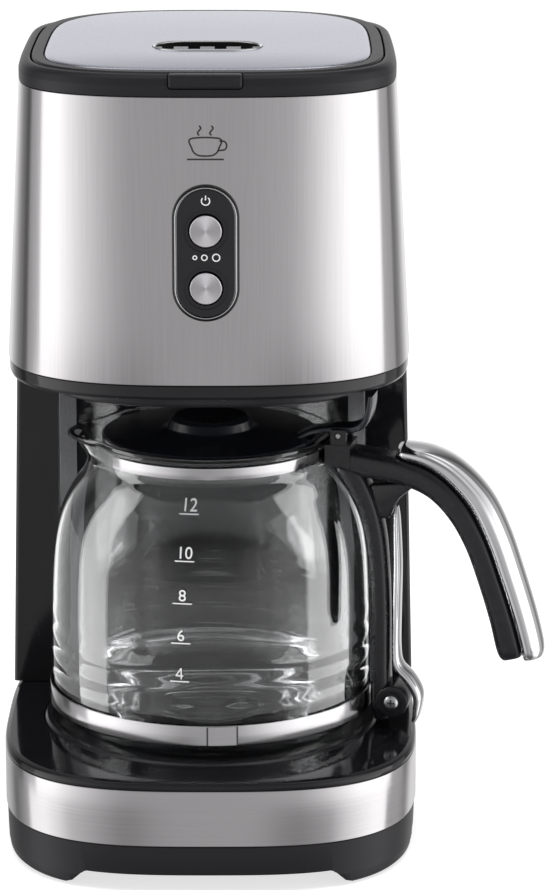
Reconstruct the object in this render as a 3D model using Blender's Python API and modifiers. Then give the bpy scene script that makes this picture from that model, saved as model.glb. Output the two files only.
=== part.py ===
"""Twelve-cup drip coffee maker: base with warming plate, water column, brew head, hinged lid,
lift-out filter basket, two push buttons and a glass carafe with a hinged lid.

Lengths are typed in millimetres and turned into metres where a shape is made. The machine
stands on Z = 0, its front faces -Y and the carafe's axis is the origin of the machine frame.
ROOT_X and ROOT_Y then move everything so that the assembly's box is centred on Z.
"""

import math

import bmesh
import bpy
from mathutils import Matrix, Vector

MM = 0.001
GAP = 0.3
ROOT_X = -28.207
ROOT_Y = -17.353

# Outline of the base and of the brew head, seen from above.
BACK_Y = 128.0
BASE_FULL = 94.6
BASE_SIDE = 93.8
BASE_FRONT = -98.3
BASE_POWER = 3.1
HEAD_LOW_Z = 228.0
HEAD_LOW_FULL = 92.0
HEAD_LOW_SIDE = 89.2
HEAD_LOW_FRONT = -92.0
HEAD_LOW_POWER = 2.85
HEAD_TOP_Z = 352.0
HEAD_TOP_FULL = 85.8
HEAD_TOP_SIDE = 82.3
HEAD_TOP_FRONT = -90.0
HEAD_TOP_POWER = 3.15
BACK_POWER = 3.0
CLAMP_POWER = 20
RING_POINTS = 32

# Base.
SKIRT_BOTTOM = 0.7
SKIRT_TOP = 21.7
ARCH_Z = 8.1
ARCH_X_TOP = 55.0
ARCH_X_FLOOR = 63.0
FLOOR_Z = 10.2
BAND_Z = (22.0, 47.6)
BAND_WALL = 1.0
DECK_Z = (47.9, 51.7)
FOOT_PADS = {"foot_pad_front_left": (-68.0, -57.0), "foot_pad_front_right": (68.0, -57.0),
             "foot_pad_rear_left": (-71.0, 80.0), "foot_pad_rear_right": (71.0, 80.0)}
FOOT_R = 6.2
BASE_SCREWS = {"base_screw_front_left": (-36.0, -52.0), "base_screw_front_right": (36.0, -52.0),
               "base_screw_rear_left": (-36.0, 92.0), "base_screw_rear_right": (36.0, 92.0)}
PLATE_R = 76.7
PLATE_TOP = 52.0
PLATE_BOTTOM = 50.6
HEATER_R = 50.0
HEATER_TUBE = 3.2
HEATER_Z = 46.9
WATER_TUBE_R = 41.0
WATER_TUBE = 4.0
WATER_TUBE_Z = 46.3
HOSE = 5.0

# Column.
COLUMN_Z = (52.0, 221.5)
COLUMN_FRONT_Y = 44.0
COLUMN_SPLIT_Y = 92.0
RECESS_R = 84.0
RECESS_HALF_X = 70.5
COLUMN_WALL = 2.6
COLUMN_FLARE = 1.2
REAR_WALL = 2.5
TANK_INSET = 8.6
TANK_WALL = 2.0
RISER_AT = (-74.0, 55.0)
PASSAGE_INSET = 7.2

# Brew head.
WRAP_Z = (228.3, 351.9)
WRAP_WALL = 0.8
TRIM_Z = (221.8, 228.0)
CHASSIS_BOTTOM = 215.0
CHASSIS_FLOOR = 225.0
CHASSIS_TOP = 351.4
SKIRT_HALF_X = 76.4
SKIRT_FRONT_Y = -78.0
SKIRT_BACK_Y = 78.0
NOZZLE_HOLE_R = 15.0
FRAME_Z = 352.2
FRAME_FLOOR_Z = 356.0
FRAME_TOP_Z = 361.3
FRAME_SINK = 4.0

# Controls, on the front face.
PILL_Z = 285.9
PILL_HALF_W = 14.3
PILL_HALF_H = 29.3
BUTTON_Z = {"power": 295.6, "strength": 271.0}
BUTTON_R = 6.9
BUTTON_HOLE_R = 7.5

# Lid, hinged along its rear edge.
HINGE_Y = 110.0
HINGE_Z = 358.6
LID_BACK_Y = 106.0
LID_INSET = 5.7
VENT_Y = -27.0
VENT_HALF_X = 23.8
VENT_HALF_Y = 14.0

# Filter basket and drip valve.
VALVE_R = 4.6
NOZZLE_BORE = 5.2
NOZZLE_R = 12.0

# Carafe. The handle plane is turned towards the front.
HANDLE_TURN = math.radians(-12.0)
LID_PIVOT_R = 60.5
LID_PIVOT_Z = 188.0
LUG_R = 85.5
LUG_Z = 64.5

for thing in list(bpy.data.objects):
    bpy.data.objects.remove(thing, do_unlink=True)

machine = bpy.data.collections.new("drip_coffee_maker")
cutters = bpy.data.collections.new("cutters")
bpy.context.scene.collection.children.link(machine)
bpy.context.scene.collection.children.link(cutters)


def material(name, colour, metallic, roughness, transmission=0.0):
    made = bpy.data.materials.new(name)
    made.use_nodes = True
    shader = made.node_tree.nodes["Principled BSDF"]
    shader.inputs["Base Color"].default_value = (*colour, 1.0)
    shader.inputs["Metallic"].default_value = metallic
    shader.inputs["Roughness"].default_value = roughness
    shader.inputs["Transmission Weight"].default_value = transmission
    made.diffuse_color = (*colour, 1.0)
    return made


STEEL = ("brushed steel", (0.62, 0.61, 0.60), 1.0, 0.32)
SATIN = ("satin silver", (0.66, 0.69, 0.74), 1.0, 0.38)
CHROME = ("chrome", (0.80, 0.80, 0.82), 1.0, 0.08)
GLOSS = ("gloss black", (0.012, 0.012, 0.014), 0.0, 0.12)
MATT = ("matt black", (0.035, 0.035, 0.038), 0.0, 0.5)
GLASS = ("clear glass", (0.92, 0.95, 0.95), 0.0, 0.02, 1.0)
RUBBER = ("rubber", (0.03, 0.03, 0.03), 0.0, 0.8)
SILICONE = ("silicone", (0.75, 0.75, 0.72), 0.0, 0.5)
ENAMEL = ("non-stick coating", (0.02, 0.02, 0.022), 0.0, 0.3)
ALLOY = ("aluminium", (0.60, 0.61, 0.62), 1.0, 0.4)
CLEAR = ("smoked plastic", (0.35, 0.37, 0.40), 0.0, 0.2)
BOARD = ("circuit board", (0.02, 0.16, 0.07), 0.0, 0.5)
MESH = ("filter mesh", (0.40, 0.35, 0.25), 0.3, 0.5)


def empty(name, at, parent):
    pivot = bpy.data.objects.new(name, None)
    machine.objects.link(pivot)
    pivot.empty_display_size = 0.02
    put(pivot, at, parent)
    return pivot


def put(thing, at, parent):
    """Place a thing whose origin is at a point of the machine frame, under a parent."""
    here = Vector(at) * MM
    if parent is None:
        thing.location = here
        thing["origin"] = tuple(here)
        return
    thing.parent = parent
    thing.location = here - Vector(parent["origin"])
    thing["origin"] = tuple(here)


def add(name, data, finish, at, parent, smooth=True):
    """A node of the machine or, with no finish, a cutter."""
    made = bpy.data.objects.new(name, data)
    if finish is None:
        cutters.objects.link(made)
        made.hide_render = True
        made.display_type = "WIRE"
    else:
        machine.objects.link(made)
        data.materials.append(material(name, *finish[1:]))
        made["finish"] = finish[0]
    if smooth and isinstance(data, bpy.types.Mesh):
        for face in data.polygons:
            face.use_smooth = True
    put(made, at, parent)
    return made


def loft(name, rings, finish, parent, at=(0, 0, 0), loop=False, smooth=False):
    """Skin rings of equal count. A loop joins the last ring to the first, else both ends are capped."""
    mesh = bmesh.new()
    rows = [[mesh.verts.new((Vector(p) - Vector(at)) * MM) for p in ring] for ring in rings]
    count = len(rows[0])
    pairs = list(zip(rows, rows[1:] + rows[:1])) if loop else list(zip(rows, rows[1:]))
    for low, high in pairs:
        for i in range(count):
            j = (i + 1) % count
            mesh.faces.new((low[i], low[j], high[j], high[i]))
    if not loop:
        mesh.faces.new(rows[0])
        mesh.faces.new(rows[-1])
    bmesh.ops.recalc_face_normals(mesh, faces=mesh.faces)
    data = bpy.data.meshes.new(name)
    mesh.to_mesh(data)
    mesh.free()
    return add(name, data, finish, at, parent, smooth)


def lathe(name, profile, finish, parent, at=(0, 0, 0), steps=24, closed=False, axis="Z"):
    """Spin a profile of (radius, height) that runs down its outer side; the axis is Z, Y or X."""
    data = bpy.data.meshes.new(name)
    points = [(r * MM, 0.0, h * MM) for r, h in profile]
    edges = [(i, i + 1) for i in range(len(points) - 1)]
    if closed:
        edges.append((len(points) - 1, 0))
    data.from_pydata(points, edges, [])
    made = add(name, data, finish, at, parent)
    screw = made.modifiers.new("Spin", "SCREW")
    screw.steps = screw.render_steps = steps
    screw.use_merge_vertices = True
    screw.merge_threshold = 0.00005
    screw.use_smooth_shade = True
    if axis == "Y":
        made.rotation_euler = (math.radians(90.0), 0.0, 0.0)
    if axis == "X":
        made.rotation_euler = (0.0, math.radians(90.0), 0.0)
    return made


def box(name, low, high, finish, parent, bevel=0.0):
    low, high = Vector(low), Vector(high)
    middle = (low + high) / 2
    mesh = bmesh.new()
    bmesh.ops.create_cube(mesh, size=1.0)
    bmesh.ops.scale(mesh, vec=(high - low) * MM, verts=mesh.verts)
    data = bpy.data.meshes.new(name)
    mesh.to_mesh(data)
    mesh.free()
    made = add(name, data, finish, middle, parent, smooth=False)
    if bevel:
        soften(made, bevel)
    return made


def soften(made, width, segments=2):
    bevel = made.modifiers.new("Edges", "BEVEL")
    bevel.width = width * MM
    bevel.segments = segments
    bevel.limit_method = "ANGLE"
    return bevel


def tube(name, points, radius, finish, parent, resolution=2):
    curve = bpy.data.curves.new(name, "CURVE")
    curve.dimensions = "3D"
    line = curve.splines.new("POLY")
    line.points.add(len(points) - 1)
    for spot, point in zip(line.points, points):
        spot.co = (*(Vector(point) * MM), 1.0)
    curve.bevel_depth = radius * MM
    curve.bevel_resolution = resolution
    curve.use_fill_caps = True
    return add(name, curve, finish, (0, 0, 0), parent)


def cut(made, *tools):
    for tool in tools:
        step = made.modifiers.new("Cut " + tool.name, "BOOLEAN")
        step.operation = "DIFFERENCE"
        step.solver = "EXACT"
        step.object = tool


def join(made, *tools):
    for tool in tools:
        step = made.modifiers.new("Join " + tool.name, "BOOLEAN")
        step.operation = "UNION"
        step.solver = "EXACT"
        step.object = tool


def drill(name, at, radius, length, parent, axis="Z", steps=20):
    """A plain round cutter centred on a point."""
    half = length / 2
    return lathe(name, [(0, half), (radius, half), (radius, -half), (0, -half)],
                 None, parent, at, steps, axis=axis)


def blend(low, high, share):
    return low + (high - low) * share


def outline(full, side, front, back, power, z, count=RING_POINTS, back_power=BACK_POWER):
    """A D-shaped ring: rounded towards the front, squarer at the back, sides held to a width."""
    ring = []
    limit = side / (1 - (side / full) ** CLAMP_POWER) ** (1 / CLAMP_POWER) if side < full else None
    for i in range(count):
        angle = 2 * math.pi * (i + 0.5) / count
        c, s = math.cos(angle), math.sin(angle)
        n = power if s < 0 else back_power
        x = full * math.copysign(abs(c) ** (2 / n), c)
        y = (-front if s < 0 else back) * math.copysign(abs(s) ** (2 / n), s)
        if limit:
            x /= (1 + (abs(x) / limit) ** CLAMP_POWER) ** (1 / CLAMP_POWER)
        ring.append((x, y, z))
    return ring


def base_ring(z, inset=0.0):
    return outline(BASE_FULL - inset, BASE_SIDE - inset, BASE_FRONT + inset, BACK_Y - inset, BASE_POWER, z)


def shell_sizes(z):
    """Full half-width, side half-width, front and power of the tall body's outline at a height."""
    if z < HEAD_LOW_Z:
        t = (z - BAND_Z[1]) / (HEAD_LOW_Z - BAND_Z[1])
        low = (BASE_FULL, BASE_SIDE, BASE_FRONT, BASE_POWER)
        high = (HEAD_LOW_FULL, HEAD_LOW_SIDE, HEAD_LOW_FRONT, HEAD_LOW_POWER)
    else:
        t = min(1.0, (z - HEAD_LOW_Z) / (HEAD_TOP_Z - HEAD_LOW_Z))
        low = (HEAD_LOW_FULL, HEAD_LOW_SIDE, HEAD_LOW_FRONT, HEAD_LOW_POWER)
        high = (HEAD_TOP_FULL, HEAD_TOP_SIDE, HEAD_TOP_FRONT, HEAD_TOP_POWER)
    return [blend(a, b, t) for a, b in zip(low, high)]


def head_ring(z, inset=0.0, back=BACK_Y, count=RING_POINTS, back_inset=None, back_power=BACK_POWER):
    full, side, front, power = shell_sizes(z)
    behind = inset if back_inset is None else back_inset
    return outline(full - inset, side - inset, front + inset, back - behind, power, z, count, back_power)


def edge_x(z, y, inset=0.0):
    """Half-width of the tall body's outline behind its widest line."""
    full, side, _, _ = shell_sizes(z)
    full, side = full - inset, side - inset
    x = full * (1 - (y / (BACK_Y - inset)) ** BACK_POWER) ** (1 / BACK_POWER)
    limit = side / (1 - (side / full) ** CLAMP_POWER) ** (1 / CLAMP_POWER)
    return x / (1 + (x / limit) ** CLAMP_POWER) ** (1 / CLAMP_POWER)


def rear_patch(z, inset, front_y, keep=18):
    """The part of the outline behind a straight line across it."""
    full, back = shell_sizes(z)[0] - inset, BACK_Y - inset
    half = full * (1 - (front_y / back) ** BACK_POWER) ** (1 / BACK_POWER)
    across_x = [half * math.cos(math.pi * k / (keep - 1)) for k in range(keep)]
    return [(x, back * (1 - (abs(x) / full) ** BACK_POWER) ** (1 / BACK_POWER), z) for x in across_x]


def open_band(z, wall, front_part, inset=0.0):
    """The tall body's outline cut across at COLUMN_SPLIT_Y, as a closed strip of one thickness."""
    split = COLUMN_SPLIT_Y + (-GAP if front_part else GAP)
    strips = []
    for extra in (0.0, wall):
        ring = head_ring(z, inset + extra, count=6 * RING_POINTS)
        ring = [p for p in ring if (p[1] < split) == front_part]
        side_x = edge_x(z, split, inset + extra)
        if front_part:
            ring.sort(key=lambda p: math.atan2(p[0], -p[1]))
        else:
            ring.sort(key=lambda p: math.atan2(-p[0], p[1]))
            side_x = -side_x
        strips.append([(-side_x, split, z)] + thin(ring, 30 if front_part else 28) + [(side_x, split, z)])
    return strips[0] + strips[1][::-1]


def thin(ring, keep):
    """An even choice of the ring's points, by distance along it."""
    steps = [0.0]
    for a, b in zip(ring, ring[1:]):
        steps.append(steps[-1] + math.dist(a, b))
    chosen = []
    for k in range(keep):
        target = steps[-1] * (k + 0.5) / keep
        i = max(j for j in range(len(ring) - 1) if steps[j] <= target)
        t = (target - steps[i]) / (steps[i + 1] - steps[i])
        chosen.append(tuple(blend(a, b, t) for a, b in zip(ring[i], ring[i + 1])))
    return chosen


def stadium(half_w, half_h, z, middle=(0.0, 0.0), count=20):
    """A ring with straight long sides and half-round ends, along its longer half-size."""
    r = min(half_w, half_h)
    ring = []
    for i in range(count):
        a = 2 * math.pi * (i + 0.5) / count
        c, s = math.cos(a), math.sin(a)
        ring.append((middle[0] + r * c + math.copysign(half_w - r, c),
                     middle[1] + r * s + math.copysign(half_h - r, s), z))
    return ring


root = empty("machine_frame", (ROOT_X, ROOT_Y, 0.0), None)
root["origin"] = (0.0, 0.0, 0.0)

# ---------------------------------------------------------------- base
bottom = loft("bottom_cover", [
    base_ring(SKIRT_BOTTOM, 3.2), base_ring(2.4, 1.5), base_ring(6.0, 0.9), base_ring(SKIRT_TOP, 0.5),
    base_ring(SKIRT_TOP, 3.6), base_ring(FLOOR_Z, 3.8)], MATT, root)
front_arch = [(-ARCH_X_FLOOR, -1.0), (ARCH_X_FLOOR, -1.0), (ARCH_X_TOP, ARCH_Z), (-ARCH_X_TOP, ARCH_Z)]
arch_along = loft("arch_along", [[(x, y, z) for x, z in front_arch] for y in (-120, 150)], None, root)
side_arch = [(-44, -1.0), (72, -1.0), (64, ARCH_Z), (-37, ARCH_Z)]
arch_across = loft("arch_across", [[(x, y, z) for y, z in side_arch] for x in (-110, 110)], None, root)
cut(bottom, arch_along, arch_across)
for name, (x, y) in FOOT_PADS.items():
    cut(bottom, drill("pocket_" + name, (x, y, 1.4), FOOT_R + GAP, 3.4, root, steps=14))
    lathe(name, [(0, 2.8), (FOOT_R, 2.8), (FOOT_R, 0.5), (FOOT_R - 0.8, 0.0), (0, 0.0)],
          RUBBER, root, (x, y, 0), 14)
for name, (x, y) in BASE_SCREWS.items():
    cut(bottom, drill("hole_" + name, (x, y, 9.0), 1.8, 8.0, root, steps=8))
    lathe(name, [(0, 16), (1.5, 15.5), (1.5, 7.8), (3.2, 7.8), (3.2, 7.0), (2.2, 6.0), (0, 5.8)],
          STEEL, root, (x, y, 0), 10)

band = loft("base_band", [base_ring(BAND_Z[0]), base_ring(BAND_Z[1]), base_ring(BAND_Z[1], BAND_WALL),
                          base_ring(BAND_Z[0], BAND_WALL)], STEEL, root, loop=True)
GLAND_AT = (22.0, BACK_Y - 0.3, 34.0)
cut(band, drill("gland_hole", GLAND_AT, 6.3, 16.0, root, axis="Y"))
lathe("cord_gland", [(8.0, 5.0), (8.0, 0.4), (6.0, 0.4), (6.0, -6.0), (3.4, -6.0), (3.4, 5.0)],
      RUBBER, root, GLAND_AT, 20, closed=True, axis="Y").rotation_euler = (math.radians(-90), 0, 0)

deck = loft("base_deck", [base_ring(DECK_Z[0], 0.2), base_ring(49.6, 0.0), base_ring(50.9, 0.9),
                          base_ring(51.5, 2.2), base_ring(DECK_Z[1], 3.6)], GLOSS, root)
ledge = lathe("deck_ledge", [(80.5, 49.0), (80.5, 43.6), (69.0, 43.6), (69.0, 45.6), (79.3, 45.6), (79.3, 49.0)],
              None, root, steps=24, closed=True)
join(deck, ledge)
cut(deck, drill("plate_opening", (0, 0, 50.0), PLATE_R + 0.5, 8.7, root, steps=36),
    loft("deck_passage", [rear_patch(z, PASSAGE_INSET, 86.5) for z in (47.0, 53.0)], None, root),
    drill("riser_deck_hole", (*RISER_AT, 50.0), HOSE + 0.6, 12.0, root))
lathe("plate_seal", [(78.9, 47.6), (78.9, 45.9), (70.5, 45.9), (70.5, 47.6)], RUBBER, root, steps=24, closed=True)
lathe("warming_plate", [(0, PLATE_TOP), (71, PLATE_TOP), (73.4, 52.9), (75.6, 52.6), (PLATE_R, 51.5),
                        (PLATE_R, 47.9), (PLATE_R - 1.5, 47.9), (PLATE_R - 1.5, PLATE_BOTTOM), (0, PLATE_BOTTOM)],
      ENAMEL, root, steps=36)


def horseshoe(radius, z, legs, start_deg=58, count=15):
    angles = [math.radians(start_deg - (180 + 2 * start_deg) * k / (count - 1)) for k in range(count)]
    arc = [(radius * math.cos(a), radius * math.sin(a), z) for a in angles]
    return [(x, y, h) for x, y, h in legs[::-1]] + arc + [(-x, y, h) for x, y, h in legs]


tube("heater_element", horseshoe(HEATER_R, HEATER_Z, [(27, 60, HEATER_Z)]), HEATER_TUBE, STEEL, root)
water_legs = [(17, 47, WATER_TUBE_Z), (16.4, 54, 42.5), (16, 61, 37.5), (16, 68, 36), (16, 80, 36)]
tube("water_tube", horseshoe(WATER_TUBE_R, WATER_TUBE_Z, water_legs, 64), WATER_TUBE, ALLOY, root)
box("heater_clamp", (-8, -60, 40.0), (8, -28, 41.8), STEEL, root, 0.4)
lathe("thermostat", [(0, 50.2), (9.5, 50.2), (9.5, 48.6), (7.2, 48.0), (7.2, 42.0), (0, 42.0)], MATT, root, steps=20)

# ---------------------------------------------------------------- column and water path


def column_x(z, y, inset=0.0):
    """The column's half-width, which spreads a little towards its front corners."""
    return edge_x(z, y, inset) + COLUMN_FLARE * (COLUMN_SPLIT_Y - y) / (COLUMN_SPLIT_Y - COLUMN_FRONT_Y)


def column_section(z):
    side = shell_sizes(z)[1] + COLUMN_FLARE
    near, far = COLUMN_FRONT_Y, COLUMN_SPLIT_Y - GAP
    start = math.acos(RECESS_HALF_X / RECESS_R)
    arc = [start + (math.pi - 2 * start) * k / 14 for k in range(15)]
    right = [(column_x(z, y), y) for y in (far, 78.0, 62.0, near + 3.0)]
    right += [(side - 1.8, near + 0.9), (side - 4.0, near), (RECESS_HALF_X + 4.0, near),
              (RECESS_HALF_X + 1.2, near + 1.6)]
    outer = right + [(RECESS_R * math.cos(a), RECESS_R * math.sin(a)) for a in arc]
    outer += [(-x, y) for x, y in right[::-1]]
    w = COLUMN_WALL
    inner_r = RECESS_R + w
    inner_right = [(column_x(z, y, w), y) for y in (far, 78.0, 62.0)]
    inner_right += [(column_x(z, near + w, w) - 2.0, near + w), (RECESS_HALF_X + 4.0 + w, near + w)]
    inner = inner_right + [(inner_r * math.cos(a), inner_r * math.sin(a)) for a in arc[1:-1]]
    inner += [(-x, y) for x, y in inner_right[::-1]]
    return [(x, y, z) for x, y in outer + inner[::-1]]


loft("column_front", [column_section(z) for z in (COLUMN_Z[0], COLUMN_Z[1])], GLOSS, root)
loft("rear_cover", [open_band(z, REAR_WALL, False) for z in (52.0, HEAD_LOW_Z, 351.9)], MATT, root)


def tank_ring(z, inset, front_y):
    return rear_patch(z, TANK_INSET + inset, front_y)


loft("water_tank", [tank_ring(z, grow, front_y) for z, grow, front_y in (
    (56.0, 4.0, 93.0), (59.0, 2.0, 90.5), (229.0, 2.0, 90.5), (241.0, 2.0, 64.0), (338.0, 0.0, 64.0),
    (338.0, TANK_WALL, 64.0 + TANK_WALL), (242.0, 2.0 + TANK_WALL, 64.0 + TANK_WALL),
    (230.0, 2.0 + TANK_WALL, 90.5 + TANK_WALL), (60.5, 2.0 + TANK_WALL, 90.5 + TANK_WALL),
    (58.2, 6.0, 95.0))], CLEAR, root)
lathe("check_valve", [(0, 55.6), (9, 55.6), (9, 53), (6.5, 51), (6.5, 41), (0, 41)], SILICONE, root, (30, 106, 0), 18)
tube("inlet_hose", [(30, 106, 40.6), (30, 106, 38.6), (29, 103.5, 36), (24, 96, 35), (18, 88, 35.8),
                    (16, 83, 36), (16, 80.4, 36)], 4.2, SILICONE, root)
tube("riser_hose", [(-16, 80.4, 36), (-16, 83, 36), (-21, 87, 35), (-36, 87, 33.6), (-54, 77, 33.6),
                    (-67, 63.5, 34.5), (-72.8, 56.4, 38), (*RISER_AT, 44), (*RISER_AT, 60), (*RISER_AT, 222),
                    (-68, 52, 300), (-65.4, 49.5, 332), (-63.4, 45, 344), (-59, 36, 349.6), (-53, 26, 350.6),
                    (-48.5, 19, 350.6)], 4.2, SILICONE, root)

# ---------------------------------------------------------------- brew head


def skirt_ring(z, inset=0.0):
    return outline(SKIRT_HALF_X - inset, SKIRT_HALF_X - inset, SKIRT_FRONT_Y + inset, SKIRT_BACK_Y - inset,
                   2.7, z, back_power=2.0)


def chassis_ring(z, inset):
    return head_ring(z, inset, back_inset=inset + 0.8)


chassis = loft("brew_head", [
    skirt_ring(CHASSIS_BOTTOM, 1.6), skirt_ring(216.2, 0.3), skirt_ring(222.1), chassis_ring(222.3, 4.8),
    chassis_ring(228.3, 4.8), chassis_ring(228.9, 3.0), chassis_ring(CHASSIS_TOP, 3.0),
    chassis_ring(CHASSIS_TOP, 5.5), chassis_ring(CHASSIS_FLOOR, 6.5)], MATT, root)
cut(chassis, drill("nozzle_hole", (0, 0, 220), NOZZLE_HOLE_R, 30, root),
    loft("tank_passage", [rear_patch(z, PASSAGE_INSET, 86.5) for z in (221.0, 226.0)], None, root),
    drill("riser_head_hole", (*RISER_AT, 223.0), HOSE + 1.0, 12.0, root))
wrap = loft("steel_wrap", [open_band(z, WRAP_WALL, True) for z in WRAP_Z], STEEL, root)
loft("lower_trim", [open_band(z, 2.6, True, i) for z, i in ((TRIM_Z[0], 1.2), (223.0, 0.5), (TRIM_Z[1], 0.4))],
     GLOSS, root)


def rim_ring(z, inset, back_inset):
    """A ring of the top frame, whose rim sinks towards the hinge."""
    above = max(0.0, z - FRAME_FLOOR_Z) / (FRAME_TOP_Z - FRAME_FLOOR_Z)
    ring = head_ring(z, inset, back_inset=back_inset)
    sunk = [FRAME_SINK * above * min(1.0, max(0.0, (y - 50.0) / 62.0)) for _, y, _ in ring]
    return [(x, y, h - s) for (x, y, h), s in zip(ring, sunk)]


frame_ring = [(FRAME_Z, 0.0, 0.0), (356.6, 0.0, 0.0), (359.8, 1.0, 1.0), (361.0, 2.6, 2.6),
              (FRAME_TOP_Z, 4.0, 10.5), (361.0, 5.0, 12.0), (FRAME_FLOOR_Z, 5.0, 12.0),
              (FRAME_FLOOR_Z, 9.5, 27.0), (FRAME_Z, 9.5, 27.0)]
frame = loft("top_frame", [rim_ring(*spec) for spec in frame_ring], MATT, root, loop=True)
for side in (-1, 1):
    for near, far in ((10.5, 13.5), (32.5, 35.5)):
        name = f"ear_{'left' if side < 0 else 'right'}_{near:.0f}"
        low, high = sorted((side * near, side * far))
        join(frame, box(name, (low, 106.9, 355.0), (high, 113.1, 360.9), None, root))
    cut(frame, drill(f"pin_bore_{side}", (side * 23.0, HINGE_Y, HINGE_Z), 1.4, 25.6, root, axis="X"))
    lathe("lid_hinge_pin_" + ("left" if side < 0 else "right"),
          [(0, 12.2), (1.1, 12.0), (1.1, -12.0), (0, -12.2)], STEEL, root,
          (side * 23.0, HINGE_Y, HINGE_Z), 14, axis="X")
cut(frame, box("finger_notch", (-16.0, -96, 355.2), (16.0, -80, 364), None, root, 1.2))

# ---------------------------------------------------------------- controls


def front_y(z):
    return shell_sizes(z)[2]


def turned(rings):
    """Rings made flat, stood up so that their height runs along -Y from the front face."""
    return [[(x, -h + front_y(PILL_Z + y), PILL_Z + y) for x, y, h in ring] for ring in rings]


loft("control_ring", turned([stadium(PILL_HALF_W, PILL_HALF_H, 0.3), stadium(PILL_HALF_W, PILL_HALF_H, 1.3),
                             stadium(PILL_HALF_W - 0.5, PILL_HALF_H - 0.5, 1.8),
                             stadium(PILL_HALF_W - 1.5, PILL_HALF_H - 1.5, 1.8),
                             stadium(PILL_HALF_W - 1.7, PILL_HALF_H - 1.7, 0.3)]),
     CHROME, root, loop=True)
panel = loft("control_plate", turned([stadium(PILL_HALF_W - 2.0, PILL_HALF_H - 2.0, 0.3),
                                      stadium(PILL_HALF_W - 2.0, PILL_HALF_H - 2.0, 1.5)]), GLOSS, root)
box("control_board", (-13, -79.0, 259), (13, -77.4, 308), BOARD, root)
for name, z in BUTTON_Z.items():
    bore = drill("bore_" + name, (0, -88, z), BUTTON_HOLE_R, 14, root, axis="Y")
    cut(panel, bore)
    cut(wrap, bore)
    cut(chassis, bore)
    lathe(name + "_button", [(0, 5.9), (5.9, 5.7), (6.7, 5.2), (BUTTON_R, 4.4), (BUTTON_R, -1.0), (2.6, -1.4),
                             (2.6, -3.2), (0, -3.4)], STEEL, root, (0, -88.6, z), 20, axis="Y")
    lathe(name + "_switch", [(0, 2.2), (1.8, 2.0), (1.8, 1.0), (3.6, 0.8), (3.6, -1.4), (0, -1.4)], MATT, root,
          (0, -80.8, z), 14, axis="Y")

# ---------------------------------------------------------------- lid
lid_pivot = empty("lid_pivot", (0.0, HINGE_Y, HINGE_Z), root)
lid_at = (0.0, HINGE_Y, HINGE_Z)


def lid_ring(z, inset, count=RING_POINTS):
    return head_ring(z, LID_INSET + inset, back=LID_BACK_Y + LID_INSET, count=count)


lid = loft("lid_frame", [lid_ring(356.5, 1.2), lid_ring(357.2, 0.2), lid_ring(360.9, 0.0), lid_ring(361.7, 0.8),
                         lid_ring(361.7, 5.0), lid_ring(359.9, 5.3)], MATT, lid_pivot, lid_at)
for name, side in (("left", -1), ("right", 1)):
    low, high = sorted((side * 14.8, side * 31.2))
    arm = box("arm_" + name, (low, 101.0, 356.8), (high, 109.2, 360.4), None, lid_pivot)
    knuckle = lathe("knuckle_" + name, [(0, 9.0), (2.2, 9.0), (2.2, -9.0), (0, -9.0)], None, lid_pivot,
                    (side * 23.0, HINGE_Y, HINGE_Z), 18, axis="X")
    bore = drill("knuckle_bore_" + name, (side * 23.0, HINGE_Y, HINGE_Z), 1.4, 24, lid_pivot, axis="X")
    join(arm, knuckle)
    cut(arm, bore)
    join(lid, arm)


def dome_ring(z, share):
    """The lid panel's outline shrunk towards the vent."""
    return [(x * share, VENT_Y + (y - VENT_Y) * share, z) for x, y, _ in lid_ring(z, 5.7)]


top = loft("lid_panel", [dome_ring(360.2, 0.995), dome_ring(361.4, 1.0), dome_ring(362.1, 0.985),
                         dome_ring(362.8, 0.92), dome_ring(363.5, 0.78), dome_ring(364.0, 0.58),
                         dome_ring(364.2, 0.36)], SATIN, lid_pivot, lid_at)
for body, grow, name in ((top, GAP, "vent_opening"), (lid, -3.0, "vent_through")):
    cut(body, loft(name, [stadium(VENT_HALF_X + grow, VENT_HALF_Y + grow, z, (0, VENT_Y)) for z in (350, 370)],
                   None, lid_pivot, lid_at))
vent = loft("vent_insert", [stadium(VENT_HALF_X, VENT_HALF_Y, z, (0, VENT_Y)) for z in (360.2, 364.5)]
            + [stadium(VENT_HALF_X - i, VENT_HALF_Y - i, z, (0, VENT_Y))
               for i, z in ((0.5, 364.8), (1.3, 364.5), (2.0, 362.2))], CHROME, lid_pivot, lid_at)
for k in range(4):
    x = -16.4 + 10.9 * k
    cut(vent, loft(f"vent_slot_{k}", [stadium(2.9, 7.0, z, (x, VENT_Y), 16) for z in (350, 370)],
                   None, lid_pivot, lid_at))
box("lid_tab", (-15.6, -91.2, 355.6), (15.6, -84.6, 361.6), MATT, lid_pivot, 1.0)
lathe("spray_plate", [(0, 356.1), (7, 356.1), (7, 347.5), (36, 347.0), (42, 345.8), (42, 344.5), (0, 344.5)],
      MATT, lid_pivot, (0, 0, 0), 20)

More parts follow.
